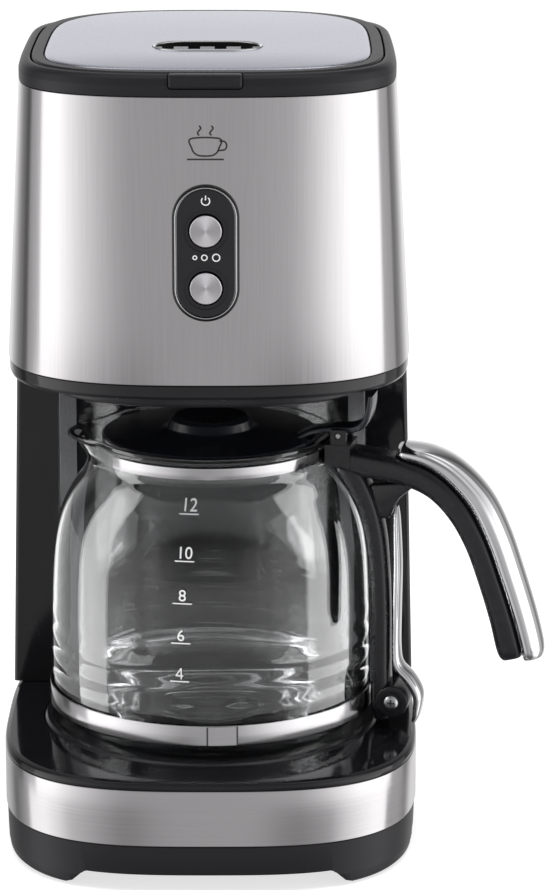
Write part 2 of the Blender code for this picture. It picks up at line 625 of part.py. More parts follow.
# ---------------------------------------------------------------- filter basket and drip valve
lathe("filter_basket", [(57, 334), (57, 331.5), (53.8, 331.0), (52.2, 326), (36, 242), (33, 238.2), (NOZZLE_R, 236),
                        (NOZZLE_R, 203.6), (10.6, 202.2), (NOZZLE_BORE, 202.2), (NOZZLE_BORE, 238.2),
                        (32, 240.6), (34.2, 243), (50.2, 326), (51.6, 334)], MATT, root, steps=24, closed=True)
lathe("mesh_filter", [(0, 250.8), (30.6, 250.8), (46.8, 332.8), (50.6, 332.8), (50.6, 331.8), (48.2, 331.2),
                      (31.6, 249.8), (0, 249.8)], MESH, root, steps=20)
lathe("drip_valve", [(0, 241.2), (9.0, 241.2), (9.0, 238.9), (VALVE_R, 238.9), (VALVE_R, 200.4), (3.0, 199.4),
                     (0, 199.2)], SILICONE, root, steps=14)
coil = [(6.0 * math.cos(a), 6.0 * math.sin(a), 242.2 + 6.6 * k / 30)
        for k, a in ((k, 2 * math.pi * k / 10) for k in range(31))]
tube("valve_spring", coil, 0.45, STEEL, root, 0)

# ---------------------------------------------------------------- carafe
carafe = empty("carafe_origin", (0.0, 0.0, 0.0), root)
glass_profile = [(54.4, 185.9), (54.4, 184.6), (52.6, 182.6), (52.6, 175.5), (57.4, 168.6), (64.2, 158.2),
                 (69.0, 146.4), (72.0, 126.0), (73.0, 92.0), (72.8, 68.0), (70.8, 58.6), (65.0, 53.4),
                 (57.0, 52.3)]
inner_profile = [(57.0, 54.8), (64.2, 56.0), (68.6, 60.2), (70.5, 68.0), (70.8, 92.0), (69.8, 125.6),
                 (66.9, 145.4), (62.2, 156.8), (55.6, 166.8), (50.4, 174.6), (50.4, 183.0), (52.2, 185.9)]


def spout(angle, z):
    """How far the lip is drawn out, opposite the handle side and highest at the rim."""
    away = abs((angle - math.pi + math.pi) % (2 * math.pi) - math.pi)
    width = math.radians(30.0)
    if away > width or z < 168.0:
        return 0.0
    rise = min(1.0, (z - 168.0) / 17.0)
    return 9.6 * math.cos(away / width * math.pi / 2) ** 2 * rise ** 1.3


def glass_ring(r, z, count=28):
    ring = []
    for i in range(count):
        a = 2 * math.pi * i / count
        reach = r + spout(a, z)
        ring.append((reach * math.cos(a), reach * math.sin(a), z - 0.25 * spout(a, z)))
    return ring


loft("carafe_glass", [glass_ring(r, z) for r, z in glass_profile[::-1]] + [glass_ring(r, z) for r, z in inner_profile[::-1]],
     GLASS, carafe, smooth=True)
lathe("base_collar", [(74.2, 69.4), (72.9, 60.8), (72.2, 60.8), (73.5, 69.4)], STEEL, carafe, steps=36, closed=True)


def arc_band(z, inner, outer, first, last, count=26):
    angles = [math.radians(blend(first, last, k / (count - 1))) for k in range(count)]
    return [(outer * math.cos(a), outer * math.sin(a), z) for a in angles] + \
           [(inner * math.cos(a), inner * math.sin(a), z) for a in angles[::-1]]


loft("neck_collar", [arc_band(z, 53.0, 53.8, -143, 143) for z in (175.7, 182.4)], STEEL, carafe)

turn = Matrix.Rotation(HANDLE_TURN, 3, "Z")


def in_handle(r, across, z):
    return tuple(turn @ Vector((r, across, z)))


def sweep(name, path, finish, parent, at=(0, 0, 0), power=3.0, count=12):
    """Skin a path of (radius, height, half thickness, half width) in the handle plane."""
    rings = []
    for i, (r, z, thick, wide) in enumerate(path):
        a, b = path[max(0, i - 1)], path[min(len(path) - 1, i + 1)]
        along = Vector((b[0] - a[0], b[1] - a[1])).normalized()
        nr, nz = -along[1], along[0]
        ring = []
        for k in range(count):
            turn_by = 2 * math.pi * (k + 0.5) / count
            c, s = math.cos(turn_by), math.sin(turn_by)
            c = math.copysign(abs(c) ** (2 / power), c) * thick
            s = math.copysign(abs(s) ** (2 / power), s) * wide
            ring.append(in_handle(r + nr * c, s, z + nz * c))
        rings.append(ring)
    return loft(name, rings, finish, parent, at, smooth=True)


grip = [(59.6, 177.3, 5.1, 8.7), (74.0, 174.6, 6.2, 9.1), (90.0, 171.8, 6.4, 9.8), (103.0, 165.2, 5.9, 10.3),
        (113.2, 154.6, 5.6, 10.6), (121.0, 140.4, 5.5, 10.6), (127.4, 123.0, 5.4, 10.4), (132.6, 107.0, 5.4, 10.2),
        (136.2, 95.0, 5.3, 10.0), (137.6, 90.0, 4.4, 8.6), (138.3, 87.6, 2.6, 6.0)]
cover = [(84.5, 182.2, 1.8, 6.5), (90.0, 181.2, 3.4, 9.2), (101.2, 178.7, 5.1, 10.6), (112.0, 172.2, 5.9, 11.0),
         (123.0, 160.1, 6.3, 11.2), (130.9, 144.5, 6.4, 11.2), (137.5, 126.2, 6.3, 11.0), (142.9, 109.6, 6.2, 10.8),
         (146.2, 97.3, 6.1, 10.4), (147.6, 91.4, 5.2, 9.0), (148.2, 89.0, 3.4, 6.4)]
spine = [(80.4, 55.4, 3.6, 6.4), (79.8, 62.0, 4.6, 7.0), (79.2, 84.0, 4.5, 7.0), (79.0, 108.0, 4.5, 7.0),
         (78.2, 126.0, 4.5, 7.0), (76.6, 141.0, 4.7, 7.2), (73.6, 153.0, 5.0, 7.3), (69.0, 163.6, 5.4, 7.5),
         (63.8, 173.0, 5.6, 7.6), (62.9, 176.0, 5.0, 7.6)]
strip = [(86.2, 150.0, 0.8, 2.4), (86.2, 143.0, 1.5, 4.6), (86.6, 128.0, 1.9, 5.4), (86.4, 106.0, 1.9, 5.6),
         (86.4, 88.0, 1.9, 5.6), (87.6, 80.0, 2.3, 5.8), (92.6, 74.4, 2.6, 6.2), (96.6, 67.0, 2.4, 6.2),
         (96.2, 58.6, 1.8, 5.8), (95.0, 54.4, 1.2, 4.4)]


def across(name, r, z, radius, low, high, finish, parent, steps=18, profile=None):
    """A round piece whose axis crosses the handle plane, between two offsets from it."""
    middle = (low + high) / 2
    half = (high - low) / 2
    made = lathe(name, profile or [(0, half), (radius, half), (radius, -half), (0, -half)], finish, parent,
                 in_handle(r, middle, z), steps)
    made.rotation_euler = (math.radians(90.0), 0.0, HANDLE_TURN)
    return made


def block(name, r0, r1, half_w, z0, z1, parent, middle=0.0):
    rings = [[in_handle(r, middle + s, z) for r, s in ((r0, -half_w), (r1, -half_w), (r1, half_w), (r0, half_w))]
             for z in (z0, z1)]
    return loft(name, rings, None, parent)


handle = sweep("handle_frame", spine, MATT, carafe)
grip_part = sweep("grip_part", grip, None, carafe)
lug = across("lug_part", LUG_R, LUG_Z, 7.4, -7.8, 7.8, None, carafe)
root_block = block("neck_clip", 54.6, 66.0, 9.4, 174.0, 184.0, carafe)
ears = [block(f"lid_ear_{k}", LID_PIVOT_R - 3.4, LID_PIVOT_R + 3.6, 1.4, 182.0, LID_PIVOT_Z + 2.8, carafe, 7.6 * k)
        for k in (-1, 1)]
join(handle, grip_part, lug, root_block, *ears)
neck_clear = lathe("neck_clear", [(0, 190), (54.9, 190), (54.9, 183.3), (54.4, 174.0), (55.0, 172.9), (58.9, 168.0),
                                  (63.9, 160.4), (68.1, 151.3), (70.9, 141.2), (72.6, 127.1), (73.5, 108.0),
                                  (74.3, 86.0), (74.3, 45.0), (0, 45.0)], None, carafe, steps=32)
cut(handle, neck_clear, across("ear_bore", LID_PIVOT_R, LID_PIVOT_Z, 1.5, -12, 12, None, carafe),
    across("lug_bore", LUG_R, LUG_Z, 1.9, -8.0, 4.0, None, carafe))
shell = sweep("handle_cover", cover, CHROME, carafe)
cut(shell, sweep("grip_room", [(r, z, t + GAP, 15.0) for r, z, t, _ in grip[1:-2]]
                 + [(137.9, 88.0, 5.4, 15.0), (140.0, 80.0, 5.4, 15.0)], None, carafe, power=6.0))
chrome_strip = sweep("spine_trim", strip, CHROME, carafe)
cut(chrome_strip, sweep("spine_room", [(r, z, t + GAP, wd + GAP) for r, z, t, wd in spine], None, carafe),
    across("lug_room", LUG_R, LUG_Z, 7.7, -8, 8, None, carafe))
across("lug_screw", LUG_R, LUG_Z, 0, -11.2, 3.0, STEEL, carafe, 20,
       [(0, 7.1), (2.4, 7.0), (4.0, 6.1), (4.0, 3.8), (1.6, 3.8), (1.6, -6.6), (0, -7.1)])

# ---------------------------------------------------------------- carafe lid
lid_pin_at = in_handle(LID_PIVOT_R, 0.0, LID_PIVOT_Z)
carafe_lid_pivot = empty("carafe_lid_pivot", lid_pin_at, carafe)
flap = loft("carafe_lid", [[(r * math.cos(a), r * math.sin(a), z) for a in
                            (2 * math.pi * (i + 0.5) / 26 for i in range(26))]
                           for r, z in ((48.6, 179.0), (49.2, 184.6), (48.4, 185.6), (18.4, 187.2),
                                        (17.0, 188.2), (16.4, 192.6), (13.4, 193.0), (12.4, 189.6))],
            GLOSS, carafe_lid_pivot, lid_pin_at)
lever = sweep("thumb_lever", [(42.0, 185.4, 1.8, 7.0), (48.0, 188.4, 1.6, 5.8), (57.0, 190.0, 1.6, 5.6),
                              (66.0, 190.6, 1.8, 6.4), (71.4, 193.6, 1.7, 8.0), (73.8, 199.4, 1.4, 8.6),
                              (74.6, 206.6, 1.1, 8.0)], None, carafe_lid_pivot, power=4.0)
lid_knuckle = across("lid_knuckle", LID_PIVOT_R, LID_PIVOT_Z, 3.1, -5.8, 5.8, None, carafe_lid_pivot, 18)
join(flap, lever, lid_knuckle)
cut(flap, across("lid_knuckle_bore", LID_PIVOT_R, LID_PIVOT_Z, 1.5, -12, 12, None, carafe_lid_pivot, 16),
    drill("drip_hole", (0, 0, 184), 2.2, 30, carafe_lid_pivot))
across("carafe_lid_pin", LID_PIVOT_R, LID_PIVOT_Z, 1.2, -8.8, 8.8, STEEL, carafe, 14)
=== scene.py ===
"""Looks of the twelve-cup drip coffee maker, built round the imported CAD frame.

Lengths are typed in millimetres in the machine frame: its origin is the carafe's axis on the worktop,
and -Y is the front. spot() turns such a point into the scene's metres.
"""

from math import acos, atan2, copysign, cos, dist, exp, hypot, pi, radians, sin, tan

import bmesh
import bpy
from mathutils import Matrix, Vector


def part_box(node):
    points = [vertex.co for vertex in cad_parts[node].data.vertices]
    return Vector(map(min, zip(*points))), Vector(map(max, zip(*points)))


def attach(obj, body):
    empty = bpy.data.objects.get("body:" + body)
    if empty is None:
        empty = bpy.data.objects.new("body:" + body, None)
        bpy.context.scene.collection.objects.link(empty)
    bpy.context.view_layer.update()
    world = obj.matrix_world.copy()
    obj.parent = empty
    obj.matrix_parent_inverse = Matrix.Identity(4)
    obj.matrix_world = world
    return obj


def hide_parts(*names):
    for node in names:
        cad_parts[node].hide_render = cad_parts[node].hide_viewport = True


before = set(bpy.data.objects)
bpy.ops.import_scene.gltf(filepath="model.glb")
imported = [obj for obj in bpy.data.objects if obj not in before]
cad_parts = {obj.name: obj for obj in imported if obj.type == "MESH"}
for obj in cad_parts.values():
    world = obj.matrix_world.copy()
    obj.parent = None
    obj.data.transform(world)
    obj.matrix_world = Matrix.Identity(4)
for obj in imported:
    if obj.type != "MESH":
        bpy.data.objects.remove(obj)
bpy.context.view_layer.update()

MM = 0.001
plate_low, plate_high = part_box("warming_plate")
AXIS = Vector(((plate_low.x + plate_high.x) / 2, (plate_low.y + plate_high.y) / 2, 0.0))

# The base and the tall body, as in the CAD. Outlines are (full half-width, flat side's half-width, front y,
# roundness of the front).
BACK_Y = 128.0
BACK_POWER = 3.0
CLAMP_POWER = 20
BASE = (94.6, 93.8, -98.3, 3.1)
HEAD_LOW = (92.0, 89.2, -92.0, 2.85)
HEAD_TOP = (85.8, 82.3, -90.0, 3.15)
BAND_TOP_Z = 47.6
RISER = (-74, 55, 0)
HEAD_LOW_Z = 228.0
HEAD_TOP_Z = 352.0
SPLIT_Y = 92.0
GAP = 0.3
RING_POINTS = 192
ARCH_Z = 8.1
PLATE_R = 76.7
FEET = {"foot_pad_front_left": (-68.0, -57.0), "foot_pad_front_right": (68.0, -57.0),
    "foot_pad_rear_left": (-71.0, 80.0), "foot_pad_rear_right": (71.0, 80.0)}

# Controls and lid.
ICON_Z = 331.5
ICON_SCALE = 0.86
BORE_Y = -88.0
PILL_Z = 285.9
PILL = (14.3, 29.3)  # half-width and half-height
BUTTON_Z = {"power": 295.6, "strength": 271.0}
BUTTON_Y = -88.6
HINGE = (110.0, 358.6)
LID_BACK_Y = 106.0
LID_INSET = 5.7
VENT_Y = -27.0
VENT = (23.8, 14.0)

# Carafe.
TURN = radians(-12.0)
LID_PIVOT = (60.5, 188.0)
LUG = (85.5, 64.5)
SPOUT_Z = 168.0
SPOUT_RISE = 17.0
SPOUT_REACH = 9.6
SPOUT_HALF_ANGLE = radians(30.0)
RIPPLE = 0.20
INK_LIFT = 0.03
GLASS_RIM = [(55.0, 185.9, 0.9), (55.0, 184.4, 0.8), (52.7, 182.4, 1.4), (52.6, 178.0)]
GLASS_OUTER = [(52.6, 178.0), (53.2, 173.9), (57.4, 168.4), (64.2, 158.2), (69.0, 146.4), (71.8, 130.0),
    (72.9, 110.0), (73.0, 92.0), (72.9, 74.0), (72.0, 63.0), (69.6, 56.6), (65.0, 53.2), (57.0, 52.3)]
GLASS_INNER = [(1.0, 59.4), (9.0, 59.2), (15.0, 57.6), (20.0, 56.2), (25.0, 56.9), (32.0, 56.6),
    (38.0, 55.0), (45.0, 55.8), (52.0, 54.7), (58.0, 55.6), (63.2, 55.2), (67.8, 58.8), (70.0, 65.0),
    (70.7, 76.0), (70.8, 92.0), (70.6, 110.0), (69.5, 130.0), (66.7, 145.6), (62.2, 156.8), (55.6, 166.8),
    (51.0, 172.6), (50.4, 178.0)]
GLASS_LIP = [(50.4, 178.0), (50.4, 183.0, 1.6), (52.4, 185.9, 0.7)]
CUP_MARKS = {12: 163.6, 10: 144.4, 8: 125.8, 6: 107.8, 4: 90.2}
MARK_TURN = {12: -8.0, 10: -8.6, 8: -9.1, 6: -9.6, 4: -10.1}

# Limits of the geometry helpers.
TINY = 1e-6
NEARLY_STRAIGHT = pi - 0.01
SHARP_DEG = 35.0


# ---- geometry helpers
def spot(point):
    return Vector(point) * MM + AXIS


def mix(low, high, share):
    return low + (high - low) * share


def between(t, *points):
    """The place at a share t of a smooth curve from the second point to the third of four."""
    made = []
    for a, b, c, d in zip(*points):
        bend, twist = 2 * a - 5 * b + 4 * c - d, 3 * b - a - 3 * c + d
        made.append(0.5 * (2 * b + (c - a) * t + bend * t * t + twist * t ** 3))
    return tuple(made)


def smooth(points, steps, shut=False):
    """A curve through points of any number of coordinates, from the first to the last or right round."""
    made = []
    count = len(points)
    for i in range(count if shut else count - 1):
        near = [(i + k) % count if shut else min(max(i + k, 0), count - 1) for k in (-1, 0, 1, 2)]
        made += [between(k / steps, *(points[n] for n in near)) for k in range(steps)]
    return made if shut else made + [tuple(points[-1])]


def fillet(points, closed=True, steps=5):
    """Round the corners of a flat outline whose points are (u, v) or (u, v, radius)."""
    made = []
    count = len(points)
    for i, point in enumerate(points):
        here = Vector(point[:2])
        before = Vector(points[i - 1][:2]) - here
        after = Vector(points[(i + 1) % count][:2]) - here
        sharp = len(point) < 3 or point[2] <= 0.0 or not (closed or 0 < i < count - 1)
        if sharp or min(before.length, after.length) < TINY or before.angle(after) > NEARLY_STRAIGHT:
            made.append(tuple(here))
            continue
        reach = min(point[2] / tan(before.angle(after) / 2), 0.48 * before.length, 0.48 * after.length)
        start, end = here + before.normalized() * reach, here + after.normalized() * reach
        for k in range(steps + 1):
            t = k / steps
            made.append(tuple(start * (1 - t) ** 2 + here * 2 * t * (1 - t) + end * t * t))
    return made


def add(name, data):
    """A new object of the scene."""
    made = bpy.data.objects.new(name, data)
    bpy.context.scene.collection.objects.link(made)
    return made


def mesh_object(name, mesh, sharp_deg=SHARP_DEG):
    data = bpy.data.meshes.new(name)
    mesh.to_mesh(data)
    mesh.free()
    data.shade_smooth()
    data.set_sharp_from_angle(angle=radians(sharp_deg))
    return add(name, data)


def skin(name, rows, loop=False, open_rows=False, sharp_deg=SHARP_DEG):
    """Join rings, or open rows, of equal count. A loop joins the last to the first, else ends are capped."""
    mesh = bmesh.new()
    made = [[mesh.verts.new(spot(p)) for p in row] for row in rows]
    count = len(made[0])
    for low, high in zip(made, made[1:] + made[:1] if loop else made[1:]):
        for i in range(count - 1 if open_rows else count):
            j = (i + 1) % count
            mesh.faces.new((low[i], low[j], high[j], high[i]))
    if not loop:
        mesh.faces.new(made[0])
        mesh.faces.new(made[-1])
    if open_rows:
        for end in (0, -1):
            mesh.faces.new([row[end] for row in made])
    bmesh.ops.recalc_face_normals(mesh, faces=mesh.faces)
    return mesh_object(name, mesh, sharp_deg)


def shell(name, ring, profile, loop=True, steps=5, sharp_deg=SHARP_DEG):
    """Sweep a profile of (inset, height, corner radius) round an outline."""
    return skin(name, [ring(z, inset) for inset, z in fillet(profile, loop, steps)], loop,
        sharp_deg=sharp_deg)


def rod(radius, low, high, corner=0.0):
    """Half the section of a round bar, whose ends may be rounded."""
    return [(0, high), (radius, high, corner), (radius, low, corner), (0, low)]


def lathe(name, profile, at=(0, 0, 0), axis="Z", steps=96, closed=False, frame_turn=None):
    """Spin a profile of (radius, height, corner radius). A positive height points along the axis."""
    points = fillet(profile, closed=closed)
    mesh = bmesh.new()
    turn = {"Z": Matrix.Identity(3), "Y": Matrix.Rotation(radians(90), 3, "X"),
        "X": Matrix.Rotation(radians(90), 3, "Y")}[axis]
    if frame_turn is not None:
        turn = frame_turn @ turn
    angles = [2 * pi * k / steps for k in range(steps)]
    rows = []
    for r, h in points:
        ring = [(r * cos(a), r * sin(a), h) for a in angles] if r >= TINY else [(0, 0, h)]
        rows.append([mesh.verts.new(spot(Vector(at) + turn @ Vector(p))) for p in ring])
    for low, high in zip(rows, rows[1:] + rows[:1] if closed else rows[1:]):
        for i in range(steps):
            j = (i + 1) % steps
            corners = [low[i % len(low)], low[j % len(low)], high[j % len(high)], high[i % len(high)]]
            unique = list(dict.fromkeys(corners))
            if len(unique) > 2:
                mesh.faces.new(unique)
    bmesh.ops.recalc_face_normals(mesh, faces=mesh.faces)
    return mesh_object(name, mesh)


def block(name, low, high):
    """A plain cutter or a blank that is rounded later."""
    (x0, y0, z0), (x1, y1, z1) = low, high
    return skin(name, [[(x0, y0, z), (x1, y0, z), (x1, y1, z), (x0, y1, z)] for z in (z0, z1)])


def settle(made):
    """Turn the object's modifiers into its mesh."""
    graph = bpy.context.evaluated_depsgraph_get()
    data = bpy.data.meshes.new_from_object(made.evaluated_get(graph))
    made.modifiers.clear()
    made.data = data
    data.shade_smooth()
    data.set_sharp_from_angle(angle=radians(SHARP_DEG))
    return made


def combine(made, tools, operation):
    for tool in tools:
        step = made.modifiers.new("Step", "BOOLEAN")
        step.operation = operation
        step.solver = "EXACT"
        step.object = tool
    settle(made)
    for tool in tools:
        bpy.data.objects.remove(tool, do_unlink=True)
    return made


def cut(made, *tools):
    return combine(made, tools, "DIFFERENCE")


def join(made, *tools):
    return combine(made, tools, "UNION")


def rounded(made, width, segments=3):
    """Round the object's sharp edges."""
    bevel = made.modifiers.new("Edges", "BEVEL")
    bevel.width = width * MM
    bevel.segments = segments
    bevel.limit_method = "ANGLE"
    bevel.angle_limit = radians(40.0)
    return settle(made)


def wear(made, finish, body, *stands_for, slot=None):
    """Give a piece its material and its body, and hide the CAD nodes that it stands for."""
    made.data.materials.clear()
    made.data.materials.append(finish)
    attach(made, body)
    if stands_for:
        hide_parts(*stands_for)
    return made


# ---- outlines
def arch(along, reach, height, power):
    """The height of a superellipse's quarter at a place along its reach."""
    return height * (1 - abs(along / reach) ** power) ** (1 / power)


def held(x, full, side):
    """Press a half-width in to a side that is flatter than the full outline."""
    if side >= full:
        return x
    limit = side / (1 - (side / full) ** CLAMP_POWER) ** (1 / CLAMP_POWER)
    return x / (1 + (abs(x) / limit) ** CLAMP_POWER) ** (1 / CLAMP_POWER)


def outline(full, side, front, back, power, z, count=RING_POINTS, back_power=BACK_POWER):
    ring = []
    for i in range(count):
        angle = 2 * pi * (i + 0.5) / count
        c, s = cos(angle), sin(angle)
        n = power if s < 0 else back_power
        x = full * copysign(abs(c) ** (2 / n), c)
        y = (-front if s < 0 else back) * copysign(abs(s) ** (2 / n), s)
        ring.append((held(x, full, side), y, z))
    return ring


def base_ring(z, inset=0.0):
    full, side, front, power = BASE
    return outline(full - inset, side - inset, front + inset, BACK_Y - inset, power, z)


def body_sizes(z):
    if z < HEAD_LOW_Z:
        share, low, high = (z - BAND_TOP_Z) / (HEAD_LOW_Z - BAND_TOP_Z), BASE, HEAD_LOW
    else:
        share, low, high = min(1.0, (z - HEAD_LOW_Z) / (HEAD_TOP_Z - HEAD_LOW_Z)), HEAD_LOW, HEAD_TOP
    return [mix(a, b, share) for a, b in zip(low, high)]


def head_ring(z, inset=0.0, back=BACK_Y, back_inset=None, count=RING_POINTS):
    full, side, front, power = body_sizes(z)
    behind = inset if back_inset is None else back_inset
    return outline(full - inset, side - inset, front + inset, back - behind, power, z, count)


def edge_x(z, y, inset=0.0):
    """Half-width of the tall body behind its widest line."""
    full, side, _, _ = body_sizes(z)
    full, side = full - inset, side - inset
    return held(arch(y, BACK_Y - inset, full, BACK_POWER), full, side)


def open_strip(z, inset, front_part):
    """The tall body's outline on one side of the split line, from one end to the other."""
    split = SPLIT_Y + (-GAP if front_part else GAP)
    ring = [p for p in head_ring(z, inset, count=4 * RING_POINTS) if (p[1] < split - 0.2) == front_part]
    ring = [p for p in ring if abs(p[1] - split) > 0.2]
    side_x = edge_x(z, split, inset)
    if front_part:
        ring.sort(key=lambda p: atan2(p[0], -p[1]))
    else:
        ring.sort(key=lambda p: atan2(-p[0], p[1]))
        side_x = -side_x
    chosen = ring[1:-1:3]
    return [(-side_x, split, z)] + chosen + [(side_x, split, z)]


def even(strip, count):
    """The same number of points along a strip for every height."""
    steps = [0.0]
    for a, b in zip(strip, strip[1:]):
        steps.append(steps[-1] + dist(a, b))
    made, i = [], 0
    for k in range(count):
        target = steps[-1] * k / (count - 1)
        while i < len(steps) - 2 and steps[i + 1] < target:
            i += 1
        share = (target - steps[i]) / (steps[i + 1] - steps[i])
        made.append(tuple(mix(a, b, share) for a, b in zip(strip[i], strip[i + 1])))
    return made


def wrapped(name, profile, front_part, count=180):
    """A shell open at the split line: a closed profile of (inset, height) swept along the strip."""
    rows = [even(open_strip(z, inset, front_part), count) for inset, z in fillet(profile)]
    return skin(name, rows, loop=True, open_rows=True)


def stadium(half_w, half_h, z, middle=(0.0, 0.0)):
    r = min(half_w, half_h)
    count = 96
    ring = []
    for i in range(count):
        a = 2 * pi * (i + 0.5) / count
        c, s = cos(a), sin(a)
        ring.append((middle[0] + r * c + copysign(half_w - r, c),
            middle[1] + r * s + copysign(half_h - r, s), z))
    return ring


# ---- materials
def node(tree, kind, inputs=(), **settings):
    """A shader node with its settings. Each input is linked to an output or set to a value."""
    made = tree.nodes.new("ShaderNode" + kind)
    for name, value in settings.items():
        setattr(made, name, value)
    for socket, value in dict(inputs).items():
        if isinstance(value, bpy.types.NodeSocket):
            tree.links.new(value, made.inputs[socket])
        else:
            made.inputs[socket].default_value = value
    return made


def new_material(name, **sockets):
    """A material with constants set on its shader, and its node tree and shader."""
    made = bpy.data.materials.new(name)
    made.use_nodes = True
    shader = made.node_tree.nodes["Principled BSDF"]
    for socket, value in sockets.items():
        shader.inputs[socket.replace("_", " ")].default_value = value
    return made, made.node_tree, shader


def object_space(tree):
    return node(tree, "TexCoord").outputs["Object"]


def noise_field(tree, scale, detail=3.0):
    """Noise stretched by one scale, or by a scale per axis."""
    scales = scale if isinstance(scale, tuple) else (scale,) * 3
    placed = node(tree, "Mapping", {"Vector": object_space(tree), "Scale": scales}).outputs["Vector"]
    return node(tree, "TexNoise", {"Vector": placed, "Scale": 1.0, "Detail": detail}).outputs["Fac"]


def roughen(tree, shader, source, low, high, edge=(0.3, 0.7)):
    """Roughness that follows a pattern between two limits."""
    made = node(tree, "MapRange", {"Value": source, "From Min": edge[0], "From Max": edge[1], "To Min": low,
        "To Max": high})
    tree.links.new(made.outputs["Result"], shader.inputs["Roughness"])


def bump(tree, shader, source, distance):
    made = node(tree, "Bump", {"Height": source, "Distance": distance})
    tree.links.new(made.outputs["Normal"], shader.inputs["Normal"])


def tint(tree, shader, source, dark, light):
    """Colour that follows a pattern between two close shades."""
    ramp = node(tree, "ValToRGB", {"Fac": source})
    for element, position, colour in zip(ramp.color_ramp.elements, (0.3, 0.7), (dark, light)):
        element.position = position
        element.color = (*colour, 1.0)
    tree.links.new(ramp.outputs["Color"], shader.inputs["Base Color"])


def surface(name, colour, roughness, scale, grain, drift, spread_by=0.2, **sockets):
    """A finish with fine grain in its bump, roughness and shade."""
    made, tree, shader = new_material(name, **sockets)
    noise = noise_field(tree, scale)
    dark, light = [tuple(min(1.0, c * (1 + way * drift)) for c in colour) for way in (-1, 1)]
    tint(tree, shader, noise, dark, light)
    roughen(tree, shader, noise, roughness * (1 - spread_by), roughness * (1 + spread_by))
    bump(tree, shader, noise, grain)
    return made


METAL = {"Metallic": 1.0}
SHELL_STEEL = surface("shell_steel", (0.605, 0.590, 0.600), 0.15, (1500, 1500, 6), 1.2e-6, 0.03, 0.15,
    **METAL)
BAND_STEEL = surface("band_steel", (0.605, 0.590, 0.600), 0.15, (8, 8, 1700), 1.2e-6, 0.03, 0.15, **METAL)
PLAIN_STEEL = surface("plain_steel", (0.50, 0.49, 0.49), 0.24, 600, 6e-6, 0.06, **METAL)
BRIGHT_BAND = surface("bright_band", (0.60, 0.59, 0.60), 0.12, (9, 9, 900), 3e-6, 0.04, 0.3, **METAL)
LID_SILVER = surface("lid_silver", (0.68, 0.695, 0.785), 0.27, 700, 4e-7, 0.015, 0.06, **METAL)
CHROME = surface("chrome", (0.80, 0.80, 0.815), 0.07, 60, 2e-6, 0.02, 0.3, **METAL)
ALLOY = surface("aluminium_tube", (0.60, 0.61, 0.62), 0.36, 500, 1e-5, 0.08, **METAL)
GLOSS = surface("gloss_black", (0.006, 0.006, 0.0075), 0.09, 45, 6e-6, 0.15, 0.35)
LID_GLOSS = surface("carafe_lid_black", (0.014, 0.0155, 0.021), 0.17, 60, 6e-6, 0.15, 0.3)
SATIN = surface("satin_charcoal", (0.012, 0.0112, 0.0135), 0.40, 2200, 1.2e-5, 0.12, 0.12,
    Specular_IOR_Level=0.32)
MATT = surface("matt_charcoal", (0.013, 0.013, 0.0145), 0.50, 2000, 2e-5, 0.12, 0.12,
    Specular_IOR_Level=0.35)
RUBBER = surface("rubber", (0.022, 0.022, 0.023), 0.78, 1500, 4e-5, 0.2, 0.1)
SILICONE = surface("silicone", (0.70, 0.69, 0.64), 0.42, 700, 2e-5, 0.05, 0.15, Subsurface_Weight=0.2)
DARK_SILICONE = surface("dark_silicone", (0.02, 0.02, 0.022), 0.5, 700, 2e-5, 0.1, 0.15)
COATING = surface("plate_coating", (0.008, 0.008, 0.0095), 0.20, 1600, 1e-5, 0.2, 0.3)
TANK = surface("smoked_tank", (0.30, 0.32, 0.34), 0.16, 200, 8e-6, 0.05, 0.2, Transmission_Weight=0.55,
    IOR=1.5)
PCB = surface("circuit_board", (0.02, 0.15, 0.06), 0.42, 900, 2e-5, 0.25, 0.2)
INK = surface("white_print", (0.86, 0.86, 0.86), 0.40, 900, 4e-6, 0.03, 0.1)
DARK_INK = surface("dark_print", (0.02, 0.02, 0.021), 0.35, 900, 4e-6, 0.05, 0.1)
VENT_GREY = surface("vent_grey", (0.20, 0.20, 0.215), 0.45, 600, 1e-5, 0.08, Specular_IOR_Level=0.2)
VENT_DARK = surface("vent_dark", (0.008, 0.008, 0.009), 0.5, 600, 1e-5, 0.08, Specular_IOR_Level=0.2)
# Light grey for thin strips on the lips of the carafe niche: a painted reflection of the studio light in the
# gloss black niche walls.
PAINTED_REFLECTION_GREY = surface("painted_reflection_grey", (0.17, 0.168, 0.178), 0.42, 700, 1e-5, 0.1, 0.1)
# Dark steel colour for the thin strips at both ends of the belt overlap. It is also painted shade on a plate
# inside the lug screw's cross recess.
DARK_STEEL_AND_PAINTED_SHADE = surface("dark_steel_and_painted_shade", (0.13, 0.13, 0.14), 0.3, 700, 1e-5, 0.1, **METAL)
PIN_STEEL = surface("pin_steel", (0.50, 0.49, 0.48), 0.28, (40, 900, 900), 6e-6, 0.06, **METAL)
GLOSS_SKIRT = surface("head_skirt_black", (0.008, 0.008, 0.010), 0.22, 300, 8e-6, 0.15, 0.25)
RING_BLACK = surface("surround_black", (0.003, 0.003, 0.0035), 0.16, 300, 4e-6, 0.1, 0.2)
PLATE_BLACK = surface("button_plate_black", (0.009, 0.0085, 0.011), 0.34, 1800, 8e-6, 0.12, 0.15)
HANDLE_BLACK = surface("handle_black", (0.010, 0.0098, 0.012), 0.25, 260, 4e-6, 0.15, 0.2)


def glass_material():
    made, tree, shader = new_material("carafe_glass_clear", Base_Color=(0.975, 0.985, 0.985, 1.0),
        Transmission_Weight=1.0, IOR=1.42)
    noise = noise_field(tree, (14, 14, 9), 2.0)
    roughen(tree, shader, noise, 0.0, 0.018)
    bump(tree, shader, noise, 0.00018)
    return made


